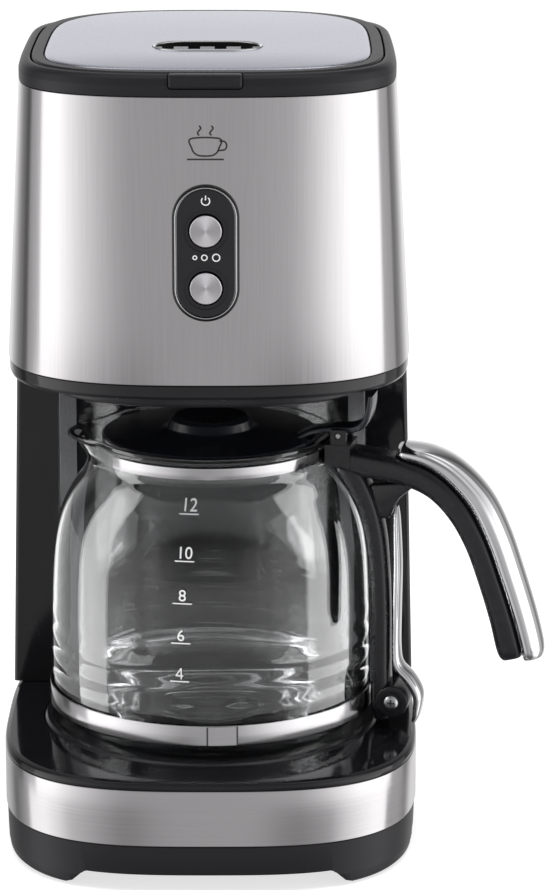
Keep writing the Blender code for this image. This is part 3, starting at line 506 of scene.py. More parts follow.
def spun_metal():
    """Cap metal turned on a lathe: fine rings about the button's axis."""
    made, tree, shader = new_material("spun_metal", Base_Color=(0.84, 0.82, 0.85, 1.0), Metallic=1.0,
        Anisotropic=0.95)
    tangent = node(tree, "Tangent", direction_type="RADIAL", axis="Y")
    tree.links.new(tangent.outputs["Tangent"], shader.inputs["Tangent"])
    wave = {"Vector": object_space(tree), "Scale": 900.0, "Distortion": 1.5, "Detail": 3.0}
    rings = node(tree, "TexWave", wave, wave_type="RINGS", rings_direction="Y").outputs["Fac"]
    roughen(tree, shader, rings, 0.30, 0.42, (0.0, 1.0))
    bump(tree, shader, rings, 3e-6)
    return made


def mesh_cloth():
    """Fine woven filter: crossed threads from two wave textures."""
    made, tree, shader = new_material("filter_weave")
    wave = {"Vector": object_space(tree), "Scale": 420.0}
    threads = [node(tree, "TexWave", wave, bands_direction=way).outputs["Fac"] for way in ("X", "Z")]
    both = node(tree, "Math", dict(enumerate(threads)), operation="MAXIMUM").outputs["Value"]
    tint(tree, shader, both, (0.22, 0.18, 0.11), (0.52, 0.45, 0.30))
    roughen(tree, shader, both, 0.6, 0.4)
    bump(tree, shader, both, 8e-5)
    return made


GLASS = glass_material()
SPUN = spun_metal()
WEAVE = mesh_cloth()


# ---- base
def skirt_foot(z, inset):
    """Base outline whose lower edge arches up between the four corner feet."""
    ring = []
    for x, y, h in base_ring(z, inset):
        along = min(1.0, max(0.0, (63.0 - abs(x)) / 8.0)) if y < 0 or y > 100 else 0.0
        rear = min(1.0, max(0.0, (y + 44.0) / 7.0)) * min(1.0, max(0.0, (72.0 - y) / 8.0))
        rise = max(along, rear) * ARCH_Z
        ring.append((x, y, max(h, rise + 0.5 * h / 8.0)))
    return ring


def build_base():
    bottom = shell("skirt", skirt_foot, [(3.2, 0.7, 0.8), (1.5, 2.4, 2), (0.9, 6.0, 2), (0.5, 21.7, 0.6),
        (3.6, 21.7, 0.5), (3.8, 10.2, 0.3)], loop=False, sharp_deg=30.0)
    front_arch = [(-63.0, -1.0), (63.0, -1.0), (55.0, ARCH_Z), (-55.0, ARCH_Z)]
    side_arch = [(-44.0, -1.0), (72.0, -1.0), (64.0, ARCH_Z), (-37.0, ARCH_Z)]
    cut(bottom, skin("along", [[(x, y, z) for x, z in front_arch] for y in (-120, 150)]),
        skin("across", [[(x, y, z) for y, z in side_arch] for x in (-110, 110)]))
    for name, (x, y) in FEET.items():
        cut(bottom, lathe("pocket", rod(6.5, -1, 3.1), (x, y, 0), steps=48))
    wear(bottom, SATIN, "housing", "bottom_cover", slot="matt_black")
    for name, (x, y) in FEET.items():
        pad = lathe("pad_" + name, [(0, 2.8), (6.2, 2.8), (6.2, 0.5, 0.4), (5.4, 0.0, 0.4), (4.2, 0.0, 0.2),
            (3.8, 0.5, 0.2), (0, 0.5)], (x, y, 0), steps=48)
        wear(pad, RUBBER, "housing", name, slot="rubber")
    band = shell("steel_band", base_ring, [(0.0, 22.0, 0.4), (0.0, BAND_TOP_Z, 0.4), (1.0, BAND_TOP_Z, 0.3),
        (1.0, 22.0, 0.3)])
    cut(band, lathe("gland_hole", rod(6.3, -8, 8), (22.0, BACK_Y - 0.3, 34.0), "Y", 48))
    wear(band, BAND_STEEL, "housing", "base_band", slot="brushed_steel")

    deck = shell("deck", base_ring, [(6.0, 47.9), (0.2, 47.9, 0.2), (0.0, 49.2, 0.6), (0.5, 50.9, 1.2),
        (2.4, 51.7, 1.4), (6.0, 51.7)], loop=False, steps=6)
    join(deck, lathe("ledge", [(80.5, 49.0), (80.5, 43.6), (69.0, 43.6), (69.0, 45.6), (79.3, 45.6),
        (79.3, 49.0)], closed=True))
    cut(deck, lathe("opening", rod(PLATE_R + 0.5, 45.65, 54.4), steps=128),
        skin("passage", [rear_patch(z, 7.2, 86.5) for z in (47.0, 53.0)]),
        lathe("riser_hole", rod(5.6, 44, 56), RISER, steps=32))
    wear(deck, GLOSS, "housing", "base_deck", slot="gloss_black")
    plate = lathe("hot_plate", [(0, 52.0), (71, 52.0, 0.8), (73.4, 52.9, 0.8), (75.6, 52.6, 0.8),
        (PLATE_R, 51.5, 0.6), (PLATE_R, 47.9), (PLATE_R - 1.5, 47.9), (PLATE_R - 1.5, 50.6), (0, 50.6)],
        steps=160)
    wear(plate, COATING, "housing", "warming_plate", slot="coating")


def rear_patch(z, inset, front_y, count=72):
    """The part of the body's outline behind a straight line across it."""
    full, back = body_sizes(z)[0] - inset, BACK_Y - inset
    half = arch(front_y, back, full, BACK_POWER)
    across_x = [half * cos(pi * k / (count - 1)) for k in range(count)]
    return [(x, arch(x, full, back, BACK_POWER), z) for x in across_x]


# ---- column and water path
RECESS_R = 84.0
RECESS_HALF_X = 70.5
COLUMN_FRONT_Y = 44.0
COLUMN_FLARE = 1.2


def column_x(z, y, inset=0.0):
    """The column's half-width, which spreads a little towards its front corners."""
    return edge_x(z, y, inset) + COLUMN_FLARE * (SPLIT_Y - y) / (SPLIT_Y - COLUMN_FRONT_Y)


def column_section(z):
    side = body_sizes(z)[1] + COLUMN_FLARE
    near, far, wall = COLUMN_FRONT_Y, SPLIT_Y - GAP, 2.6
    start = acos(62.6 / RECESS_R)
    arc = [start + (pi - 2 * start) * k / 60 for k in range(61)]
    back_side = [(column_x(z, far + (50.0 - far) * k / 12), far + (50.0 - far) * k / 12) for k in range(13)]
    corner = fillet([(column_x(z, 50.0), 50.0), (side - 0.4, near, 3.2), (RECESS_HALF_X + 4.0, near)],
        False, 8)[1:-1]
    lip = fillet([(RECESS_HALF_X + 4.0, near), (RECESS_HALF_X + 0.8, near, 0.8), (63.2, 50.0, 0.5),
        (63.0, 54.2)], False, 4)[1:]
    right = back_side + corner + lip
    outer = right + [(RECESS_R * cos(a), RECESS_R * sin(a)) for a in arc]
    outer += [(-x, y) for x, y in right[::-1]]
    inner_r = RECESS_R + wall
    inner_right = [(column_x(z, y, wall), y) for y in (far, 84.0, 76.0, 68.0, 60.0, 52.0)]
    inner_right += [(column_x(z, near + wall, wall) - 2.0, near + wall),
        (RECESS_HALF_X + 4.0 + wall, near + wall), (66.6, 56.0)]
    inner = inner_right + [(inner_r * cos(a), inner_r * sin(a)) for a in arc[1:-1]]
    inner += [(-x, y) for x, y in inner_right[::-1]]
    return [(x, y, z) for x, y in outer + inner[::-1]]


def tank_ring(z, inset, front_y):
    return rear_patch(z, 8.6 + inset, front_y)


def build_column():
    column = skin("column", [column_section(z) for z in (52.0, 52.6, 221.0, 221.5)], sharp_deg=25.0)
    wear(column, GLOSS, "housing", "column_front", slot="gloss_black")
    # Thin light grey sheets along both lips of the niche: a painted reflection standing in for the light
    # mirrored by the gloss black walls.
    for name, k in (("left", -1), ("right", 1)):
        rows = [[(k * x, y, z) for x, y in ((70.9, 44.0), (63.4, 49.55), (63.3, 49.2), (70.6, 43.8))]
            for z in (60.0, 217.0)]
        wear(skin("painted_reflection_strip_" + name, rows), PAINTED_REFLECTION_GREY, "housing", slot="matt_black")
    rear = wrapped("back_shell", [(0.0, 52.0, 0.3), (0.0, 228.0), (0.0, 351.9, 0.4), (2.5, 351.9),
        (2.5, 228.0), (2.5, 52.0)], False)
    wear(rear, MATT, "housing", "rear_cover", slot="matt_black")
    wall = 2.0
    rows = [(56.0, 4.0, 93.0), (57.2, 2.6, 91.4), (59.0, 2.0, 90.5), (229.0, 2.0, 90.5), (241.0, 2.0, 64.0),
        (338.0, 0.0, 64.0), (338.0, wall, 64.0 + wall), (242.0, 2.0 + wall, 64.0 + wall),
        (230.0, 2.0 + wall, 90.5 + wall), (60.5, 2.0 + wall, 90.5 + wall), (58.2, 6.0, 95.0)]
    tank = skin("tank", [tank_ring(*row) for row in rows])
    wear(tank, TANK, "housing", "water_tank", slot="smoked_plastic")


# ---- brew head
def skirt_ring(z, inset=0.0):
    return outline(76.4 - inset, 76.4 - inset, -78.0 + inset, 78.0 - inset, 2.7, z, back_power=2.0)


def chassis_ring(z, inset):
    return head_ring(z, inset, back_inset=inset + 0.8)


def button_bores():
    return [lathe("bore", rod(7.5, -7.0, 7.0), (0, BORE_Y, z), "Y", 64) for z in BUTTON_Z.values()]


def rim_ring(z, inset, back_inset):
    """A ring of the top frame, whose rim sinks towards the hinge."""
    above = max(0.0, z - 356.0) / 5.3

    def sunk(y):
        return 4.0 * above * min(1.0, max(0.0, (y - 50.0) / 62.0))

    return [(x, y, h - sunk(y)) for x, y, h in head_ring(z, inset, back_inset=back_inset)]


def build_head():
    chassis = skin("head_chassis", [skirt_ring(215.0, 2.4), skirt_ring(215.05, 1.6), skirt_ring(215.3, 0.9),
        skirt_ring(215.8, 0.4), skirt_ring(216.8, 0.1), skirt_ring(222.1), chassis_ring(222.3, 4.8),
        chassis_ring(228.3, 4.8), chassis_ring(228.9, 3.0), chassis_ring(351.4, 3.0),
        chassis_ring(351.4, 5.5), chassis_ring(225.0, 6.5)])
    cut(chassis, lathe("outlet", rod(15, 205, 235), steps=64),
        skin("passage", [rear_patch(z, 7.2, 86.5) for z in (221.0, 226.0)]),
        lathe("riser", rod(6, 217, 229), RISER, steps=32), *button_bores())
    wear(chassis, GLOSS_SKIRT, "housing", "brew_head", slot="matt_black")
    wrap = wrapped("shell_of_steel", [(0.0, 228.3, 0.35), (0.0, 290.0), (0.0, 351.9, 0.35), (0.8, 351.9),
        (0.8, 290.0), (0.8, 228.3)], True, 260)
    cut(wrap, *button_bores())
    wear(wrap, SHELL_STEEL, "housing", "steel_wrap", slot="brushed_steel")
    trim = wrapped("trim_under_shell", [(2.6, 221.8), (1.2, 221.8, 0.6), (0.5, 223.2, 1.4),
        (0.4, 228.0, 0.4), (2.6, 228.0)], True, 220)
    wear(trim, GLOSS, "housing", "lower_trim", slot="gloss_black")

    profile = fillet([(0.0, 352.2, 0.2), (0.0, 356.6, 1.5), (1.0, 359.8, 2.5), (2.6, 361.0, 1.4),
        (4.0, 361.3, 0.8), (5.0, 361.0, 0.4), (5.0, 356.0, 0.2), (9.5, 356.0), (9.5, 352.2)])
    behind = [(0.0, 0.0), (2.6, 2.6), (4.0, 10.5), (5.0, 12.0), (9.5, 27.0)]

    def back_of(inset):
        for (a, b), (c, d) in zip(behind, behind[1:]):
            if a <= inset <= c:
                return mix(b, d, (inset - a) / (c - a))
        return inset

    top = skin("rim_of_head", [rim_ring(z, inset, back_of(inset)) for inset, z in profile], loop=True,
        sharp_deg=30)
    for side in (-1, 1):
        for a, b in ((10.5, 13.5), (32.5, 35.5)):
            low, high = sorted((side * a, side * b))
            ear = block("ear", (low, 107.2, 355.0), (high, 112.8, 358.6))
            join(ear, lathe("ear_top", rod(1.7, -1.5, 1.5, 0.2),
                (side * 12.0 if a < 20 else side * 34.0, *HINGE), "X", 40))
            join(top, ear)
        cut(top, lathe("pin_bore", rod(1.15, -12.8, 12.8), (side * 23.0, *HINGE), "X", 32))
    cut(top, rounded(block("notch", (-16.0, -96, 355.2), (16.0, -80, 366)), 1.6))
    wear(top, SATIN, "housing", "top_frame", slot="matt_black")


# ---- controls
def front_y(z):
    return body_sizes(z)[2]


def pill_ring(z, inset):
    """The button plate's outline, stood up on the front face with its height towards the viewer."""
    flat = stadium(PILL[0] - inset, PILL[1] - inset, z)
    return [(x, front_y(PILL_Z + y) - h, PILL_Z + y) for x, y, h in flat]


def printed(name, text, height, place):
    """Flat lettering of a given height, carried onto a surface by a function of (u, v, lift)."""
    curve = bpy.data.curves.new(name, "FONT")
    curve.body = text
    curve.align_x = "CENTER"
    curve.align_y = "CENTER"
    curve.offset = 0.004
    curve.extrude = 0.02
    curve.resolution_u = 6
    flat = add(name, curve)
    data = bpy.data.meshes.new_from_object(flat.evaluated_get(bpy.context.evaluated_depsgraph_get()))
    bpy.data.objects.remove(flat, do_unlink=True)
    tops = [v.co.y for v in data.vertices]
    scale = height / (max(tops) - min(tops))
    middle = (max(tops) + min(tops)) / 2
    for vertex in data.vertices:
        lift = INK_LIFT if vertex.co.z > 0 else -INK_LIFT
        vertex.co = spot(place(vertex.co.x * scale, (vertex.co.y - middle) * scale, lift))
    data.update()
    return add(name, data)


def on_shell(u, v, lift):
    """A point of the steel shell's front, about the place of the icon above the buttons."""
    z = ICON_Z + v
    full, _, front, power = body_sizes(z)
    return (u, arch(u, full, front, power) - lift, z)


def stroke(name, line, half, place, shut=False):
    """A line of ink of one width along a few points, smoothed."""
    fine = smooth(line, 8, shut)
    count = len(fine)
    corners = ((1, -1), (-1, -1), (-1, 1), (1, 1))
    rows = []
    for i, (u, v) in enumerate(fine):
        if shut:
            before, after = fine[i - 1], fine[(i + 1) % count]
        else:
            before, after = fine[max(0, i - 1)], fine[min(count - 1, i + 1)]
        along = Vector((after[0] - before[0], after[1] - before[1])).normalized()
        a, b = -along[1] * half, along[0] * half
        rows.append([place(u + a * k, v + b * k, lift * INK_LIFT) for k, lift in corners])
    return skin(name, rows, loop=shut)


def build_controls():
    ring = shell("button_surround", pill_ring, [(0.0, 0.3), (0.0, 1.2, 0.25), (0.35, 1.8, 0.3),
        (0.9, 1.5, 0.2), (1.7, 0.9, 0.2), (1.7, 0.3)])
    wear(ring, RING_BLACK, "housing", "control_ring", slot="chrome")
    bead = shell("surround_bead", pill_ring, [(1.05, 1.2), (1.1, 1.75, 0.2), (1.5, 1.75, 0.2), (1.6, 1.2)])
    wear(bead, CHROME, "housing", slot="chrome")
    plate = shell("button_plate", pill_ring, [(2.0, 0.3), (2.0, 1.5, 0.25), (3.0, 1.5)], loop=False)
    for z in BUTTON_Z.values():
        groove = lathe("groove", [(9.3, 3.0), (9.3, 1.2), (8.7, 1.2), (8.7, 3.0)], (0, front_y(z), z), "Y",
            96, closed=True)
        cut(plate, groove)
    cut(plate, *button_bores())
    wear(plate, PLATE_BLACK, "housing", "control_plate", slot="gloss_black")
    for name, z in BUTTON_Z.items():
        profile = [(0, 5.75), (6.5, 5.7, 0.3), (6.88, 5.2, 0.3), (6.9, -1.0), (2.6, -1.4), (2.6, -3.2),
            (0, -3.4)]
        cap = lathe(name + "_cap", profile, (0, 0, 0), "Y", 96)
        cap.data.transform(Matrix.Translation(-AXIS))
        cap.location = spot((0, BUTTON_Y, z))
        wear(cap, SPUN, name + "_key", name + "_button", slot="brushed_steel")

    def face(height):
        return lambda u, v, lift: (u, front_y(height + v) - 1.52 - lift, height + v)

    cup = [(-7.0, 3.6), (-6.6, -1.2), (-5.2, -3.6), (-2.6, -4.8), (2.6, -4.8), (5.2, -3.6), (6.6, -1.2),
        (7.0, 3.6)]
    handle = [(6.8, 2.4), (9.4, 2.2), (10.4, 0.2), (9.4, -1.8), (6.0, -2.2)]
    steam = [(0.0, 5.2), (-0.8, 6.4), (0.0, 7.6), (0.8, 8.8), (0.0, 10.0)]
    icon = {"cup": cup, "handle": handle, "saucer": [(-9, -6.6), (9, -6.6)]}
    for name, shift in (("left", -3.0), ("right", 3.0)):
        icon["steam_" + name] = [(x + shift, z) for x, z in steam]
    for name, line in icon.items():
        line = [(ICON_SCALE * u, ICON_SCALE * v) for u, v in line]
        wear(stroke("icon_" + name, line, 0.36, on_shell, name == "cup"), DARK_INK, "housing")
    arc = [(1.75 * sin(radians(a)), 1.75 * cos(radians(a))) for a in range(38, 323, 12)]
    wear(stroke("symbol_power_ring", arc, 0.24, face(308.4)), INK, "housing")
    wear(stroke("symbol_power_bar", [(0, 0.3), (0, 2.3)], 0.24, face(308.4)), INK, "housing")
    for name, middle, size in (("weak", -4.6, 0.8), ("medium", -0.6, 1.15), ("strong", 4.4, 1.5)):
        dot = [(middle + size * cos(a * pi / 8), size * sin(a * pi / 8)) for a in range(16)]
        wear(stroke("symbol_" + name, dot, 0.24, face(284.2), True), INK, "housing")


# ---- lid
def lid_ring(z, inset):
    return head_ring(z, LID_INSET + inset, back=LID_BACK_Y + LID_INSET)


def dome_ring(z, share):
    return [(x * share, VENT_Y + (y - VENT_Y) * share, z) for x, y, _ in lid_ring(z, 5.7)]


def vent_ring(z, inset):
    return stadium(VENT[0] - inset, VENT[1] - inset, z, (0, VENT_Y))


def build_lid():
    lid = shell("lid_rim", lid_ring, [(1.2, 356.5, 0.4), (0.2, 357.2, 0.4), (0.0, 360.9, 0.6),
        (0.8, 361.7, 0.5), (5.0, 361.7, 0.3), (5.3, 359.9), (9.0, 359.9), (9.0, 356.5)])
    floor = skin("lid_floor", [lid_ring(356.5, 8.0), lid_ring(359.9, 8.0)])
    join(lid, floor)
    for side in (-1, 1):
        low, high = sorted((side * 14.8, side * 31.2))
        arm = block("arm", (low, 101.0, 356.8), (high, 109.2, 360.4))
        knuckle = lathe("knuckle", rod(1.9, -9.0, 9.0, 0.3), (side * 23.0, *HINGE), "X", 48)
        join(arm, knuckle)
        cut(arm, lathe("bore", rod(1.2, -12, 12), (side * 23.0, *HINGE), "X", 32))
        join(lid, arm)
    cut(lid, skin("vent_through", [vent_ring(z, 3.0) for z in (350, 370)]))
    wear(lid, SATIN, "lid", "lid_frame", slot="matt_black")

    shares = [(360.2, 0.995), (361.0, 0.999), (361.5, 0.999), (361.95, 0.994), (362.2, 0.984)]
    crown = [(362.2 + 2.0 * sin(pi / 2 * k / 14), 0.984 - 0.62 * (k / 14) ** 1.15) for k in range(1, 15)]
    top = skin("lid_top", [dome_ring(z, share) for z, share in shares + crown], sharp_deg=50)
    cut(top, skin("vent_hole", [vent_ring(z, -GAP) for z in (350, 370)]))
    wear(top, LID_SILVER, "lid", "lid_panel", slot="satin_silver")

    vent = shell("vent_bezel", vent_ring, [(0.0, 360.2), (0.0, 364.5, 0.4), (0.5, 364.8, 0.3),
        (1.2, 364.4, 0.3), (1.2, 360.2)])
    wear(vent, CHROME, "lid", "vent_insert", slot="chrome")
    liner = shell("vent_liner", vent_ring, [(1.25, 360.2), (1.25, 364.1), (1.9, 364.1), (1.9, 360.2)])
    wear(liner, VENT_DARK, "lid")
    comb = skin("vent_comb", [vent_ring(z, 2.0) for z in (361.2, 363.5, 363.8)])
    cut(comb, block("open_back", (-30, VENT_Y + 1.6, 355), (30, 0, 370)),
        *[block("gap", (x - 2.6, VENT_Y - 5.4, 355), (x + 2.6, 0, 370)) for x in (-17.2, -5.8, 5.6, 17.0)])
    wear(comb, VENT_GREY, "lid")
    tab = rounded(block("finger_tab", (-15.6, -91.2, 355.6), (15.6, -84.6, 361.6)), 1.3, 4)
    wear(tab, SATIN, "lid", "lid_tab", slot="matt_black")
    spray = lathe("spray_disc", [(0, 356.1), (7, 356.1), (7, 347.5, 1), (36, 347.0, 1), (42, 345.8, 0.6),
        (42, 344.5, 0.4), (0, 344.5)])
    wear(spray, MATT, "lid", "spray_plate", slot="matt_black")


# ---- filter basket
def build_basket():
    basket = lathe("brew_basket", [(57, 334, 0.6), (57, 331.5, 0.6), (53.8, 331.0, 0.8), (52.2, 326, 1),
        (36, 242, 3), (33, 238.2, 2), (12, 236, 2), (12, 203.6, 1), (10.6, 202.2, 0.5), (5.2, 202.2, 0.4),
        (5.2, 238.2, 0.5), (32, 240.6, 2), (34.2, 243, 3), (50.2, 326, 1), (51.6, 334, 0.5)], closed=True)
    wear(basket, MATT, "basket", "filter_basket", slot="matt_black")
    cone = lathe("mesh_cone", [(0, 250.8), (30.6, 250.8, 1), (46.8, 332.8, 0.4), (50.6, 332.8, 0.4),
        (50.6, 331.8, 0.3), (48.2, 331.2, 0.5), (31.6, 249.8, 0.5), (0, 249.8)])
    wear(cone, WEAVE, "basket", "mesh_filter", slot="filter_mesh")
    valve = lathe("drip_stop", [(0, 241.2), (9.0, 241.2, 0.5), (9.0, 238.9, 0.5), (4.6, 238.9),
        (4.6, 200.4, 0.6), (3.0, 199.4, 0.4), (0, 199.2)], steps=48)
    wear(valve, DARK_SILICONE, "valve", "drip_valve", slot="silicone")


# ---- carafe
turn_matrix = Matrix.Rotation(TURN, 3, "Z")


def in_handle(r, across, z):
    return tuple(turn_matrix @ Vector((r, across, z)))


def spout(angle, z):
    """How far the pouring lip is drawn out, opposite the handle side."""
    away = abs(pi - abs((angle + pi) % (2 * pi) - pi))
    if away > SPOUT_HALF_ANGLE or z < SPOUT_Z:
        return 0.0
    rise = min(1.0, (z - SPOUT_Z) / SPOUT_RISE)
    return SPOUT_REACH * cos(away / SPOUT_HALF_ANGLE * pi / 2) ** 2 * rise ** 1.3


def glass_ring(r, z):
    count = 160
    ring = []
    for i in range(count):
        a = 2 * pi * i / count
        out = spout(a, z)
        ring.append(((r + out) * cos(a), (r + out) * sin(a), z - 0.06 * out))
    return ring


def rippled(ring):
    """Shallow waves in the moulded glass, strongest just above the jug's floor."""
    made = []
    for x, y, z in ring:
        a = atan2(y, x)
        here = RIPPLE * exp(-((z - 78.0) / 20.0) ** 2) * sin(z * 0.62 + 0.5 * sin(2 * a + 0.6))
        share = 1 + here / max(20.0, hypot(x, y))
        made.append((x * share, y * share, z))
    return made


def glass_radius(z):
    points = smooth(GLASS_OUTER, 7)
    for (r1, z1), (r2, z2) in zip(points, points[1:]):
        if z2 <= z <= z1:
            return mix(r2, r1, (z - z2) / (z1 - z2))
    return points[0][0]


def ribbon(name, section, first, last, count):
    """A strip with a section of (radius, height), bent round the glass between two bearings in degrees."""
    rows = []
    for k in range(count):
        a = radians(mix(first, last, k / (count - 1)))
        rows.append([(r * cos(a), r * sin(a), z) for r, z in section])
    return skin(name, rows)


def sweep(name, path, power=3.0, count=40, steps=6, sharp_deg=SHARP_DEG, crease=0.0):
    """Skin a smooth path of (radius, height, half thickness, half width) in the handle's plane.

    A crease presses a shallow groove along both flanks.
    """
    fine = smooth(path, steps)
    rings = []
    for i, (r, z, thick, wide) in enumerate(fine):
        a, b = fine[max(0, i - 1)], fine[min(len(fine) - 1, i + 1)]
        along = Vector((b[0] - a[0], b[1] - a[1])).normalized()
        nr, nz = -along[1], along[0]
        ring = []
        for k in range(count):
            angle = 2 * pi * (k + 0.5) / count
            c, s = cos(angle), sin(angle)
            c = copysign(abs(c) ** (2 / power), c) * thick
            s = copysign(abs(s) ** (2 / power), s) * wide
            if crease:
                faded = min(1.0, i / 20, (len(fine) - 1 - i) / 20)
                s *= 1 - faded * crease * exp(-((c / thick - 0.5) / 0.11) ** 2)
            ring.append(in_handle(r + nr * c, s, z + nz * c))
        rings.append(ring)
    return skin(name, rings, sharp_deg=sharp_deg)


def across(name, r, z, profile, closed=False):
    """A round piece on an axis across the handle's plane. Positive heights lie towards the front."""
    return lathe(name, profile, in_handle(r, 0.0, z), "Y", 48, closed, turn_matrix)


def handle_block(name, r0, r1, half_w, z0, z1, middle=0.0):
    rings = [[in_handle(r, middle + s, z) for r, s in ((r0, -half_w), (r1, -half_w), (r1, half_w),
        (r0, half_w))] for z in (z0, z1)]
    return skin(name, rings)


GRIP = [(59.6, 177.3, 5.1, 8.7), (74.0, 174.6, 6.2, 9.1), (90.0, 172.2, 6.2, 9.8),
    (104.0, 166.4, 5.9, 10.3), (114.8, 155.8, 5.7, 10.6), (123.2, 141.4, 5.6, 10.6),
    (129.8, 123.6, 5.6, 10.4), (135.0, 107.4, 5.8, 10.2), (138.2, 95.0, 6.0, 10.0), (139.4, 90.4, 5.6, 9.2),
    (139.9, 88.4, 4.6, 8.0)]
COVER = [(89.4, 181.2, 3.6, 9.2), (90.4, 181.1, 4.2, 9.8), (101.4, 178.8, 5.1, 10.7),
    (112.4, 172.5, 5.9, 11.1), (123.6, 160.5, 6.3, 11.3), (131.6, 144.9, 6.4, 11.3),
    (138.2, 126.5, 6.3, 11.1), (143.6, 109.8, 6.2, 10.9), (147.0, 97.3, 6.1, 10.6),
    (148.2, 91.4, 5.8, 10.0), (148.7, 88.8, 4.9, 8.6)]
SPINE = [(80.4, 55.4, 3.6, 6.4), (79.8, 62.0, 4.6, 7.0), (79.2, 84.0, 4.5, 7.0), (79.0, 108.0, 4.5, 7.0),
    (78.2, 126.0, 4.5, 7.0), (76.6, 141.0, 4.7, 7.2), (73.6, 153.0, 5.0, 7.3), (69.0, 163.6, 5.4, 7.5),
    (63.8, 173.0, 5.6, 7.6), (62.9, 176.0, 5.0, 7.6)]
STRIP = [(85.9, 155.0, 0.8, 2.4), (86.0, 148.0, 1.5, 4.6), (86.6, 128.0, 1.9, 5.4), (86.4, 106.0, 1.9, 5.6),
    (86.4, 88.0, 1.9, 5.6), (87.6, 80.0, 2.3, 5.8), (92.6, 74.4, 2.6, 6.2), (96.6, 67.0, 2.4, 6.2),
    (96.2, 58.6, 1.8, 5.8), (95.0, 54.4, 1.2, 4.4)]


def upright_cross(r, z, reach, half, face, depth):
    """Two bars of a cross on a face that looks towards the front."""
    return [handle_block("bar", r - a, r + a, depth, z - b, z + b, -face)
        for a, b in ((reach, half), (half, reach))]


def build_handle():
    handle = sweep("handle_body", SPINE)
    web = [(74.0, 165.0), (96.0, 167.5), (92.4, 163.4), (88.0, 159.6), (85.0, 155.0), (83.2, 149.5),
        (77.0, 149.5)]
    gusset = rounded(skin("gusset", [[in_handle(r, s, z) for r, z in web] for s in (-4.4, 4.4)]), 1.6, 2)
    ears = [handle_block("lid_ear", LID_PIVOT[0] - 3.4, LID_PIVOT[0] + 3.6, 1.4, 182.0, LID_PIVOT[1] + 2.8,
        7.6 * k) for k in (-1, 1)]
    join(handle, gusset, sweep("grip", GRIP, power=3.6), across("lug", *LUG, rod(7.4, -7.8, 7.8, 0.8)),
        handle_block("clip", 54.6, 66.0, 9.4, 174.0, 184.0), *ears)
    clear = lathe("clear", [(0, 190), (54.9, 190), (54.9, 183.3), (54.4, 174.0), (55.0, 172.9),
        (58.9, 168.0), (63.9, 160.4), (68.1, 151.3), (70.9, 141.2), (72.6, 127.1), (73.5, 108.0),
        (74.3, 86.0), (74.3, 45.0), (0, 45.0)], steps=128)
    lug_ring = across("lug_ring", *LUG, [(4.2, 8.6), (4.9, 8.6), (4.9, 7.1), (4.2, 7.1)], closed=True)
    cut(handle, clear, across("ear_bore", *LID_PIVOT, rod(1.5, -12, 12)),
        across("lug_bore", *LUG, rod(1.9, -4.0, 8.0)), lug_ring)
    wear(handle, HANDLE_BLACK, "carafe", "handle_frame", slot="matt_black")
    cover = sweep("grip_cover", COVER, power=2.15, count=200, steps=8, sharp_deg=50.0, crease=0.03)
    room = [(r, z, t + 0.1, 15.0) for r, z, t, _ in GRIP[1:-2]] + [(139.6, 90.0, 5.9, 15.0),
        (141.6, 80.0, 5.9, 15.0)]
    cut(cover, sweep("room", room, power=5.0))
    wear(cover, CHROME, "carafe", "handle_cover", slot="chrome")
    strip = sweep("spine_strip", STRIP, power=2.6)
    cut(strip, sweep("spine_room", [(r, z, t + GAP, w + GAP) for r, z, t, w in SPINE]),
        across("lug_room", *LUG, rod(7.7, -8, 8)))
    wear(strip, CHROME, "carafe", "spine_trim", slot="chrome")
    screw = across("clamp_screw", *LUG, [(0, 9.9), (2.3, 9.75, 1.0), (3.2, 8.9, 0.3), (3.2, 7.9, 0.1),
        (1.6, 7.9), (1.6, -3.0), (0, -3.0)])
    cut(screw, *upright_cross(*LUG, 1.7, 0.42, 9.8, 0.9))
    wear(screw, ALLOY, "carafe", "lug_screw", slot="brushed_steel")
    # A dark plate set down inside the screw's cross recess: painted shade that darkens the recess.
    mark, bar = upright_cross(*LUG, 2.1, 0.38, 9.25, 0.2)
    join(mark, bar).name = "screw_recess_painted_shade"
    wear(mark, DARK_STEEL_AND_PAINTED_SHADE, "carafe")
    pin = across("lid_pin", *LID_PIVOT, rod(1.2, -8.8, 8.8, 0.3))
    wear(pin, PIN_STEEL, "carafe", "carafe_lid_pin", slot="brushed_steel")


def soft_light(name, wide, tall, energy):
    lamp = bpy.data.lights.new(name, "AREA")
    lamp.shape = "RECTANGLE"
    lamp.size, lamp.size_y = wide, tall
    lamp.energy = energy
    return add(name, lamp)


def light_jug(jug):
    """Two tall soft lights, to the left and the right, that only the glass picks up."""
    only = bpy.data.collections.new("lit_glass")
    only.objects.link(jug)
    away = 0.28
    for name, degrees, wide, energy in (("left", -80.0, 0.12, 1.25), ("right", 84.0, 0.23, 2.2)):
        strip = soft_light("strip_" + name, wide, 0.8, energy)
        a = radians(degrees)
        towards = Vector((-sin(a), cos(a), 0.0))
        strip.location = (away * sin(a), -away * cos(a), 0.35)
        strip.rotation_euler = towards.to_track_quat("-Z", "Y").to_euler()
        strip.visible_camera = False
        strip.light_linking.receiver_collection = only


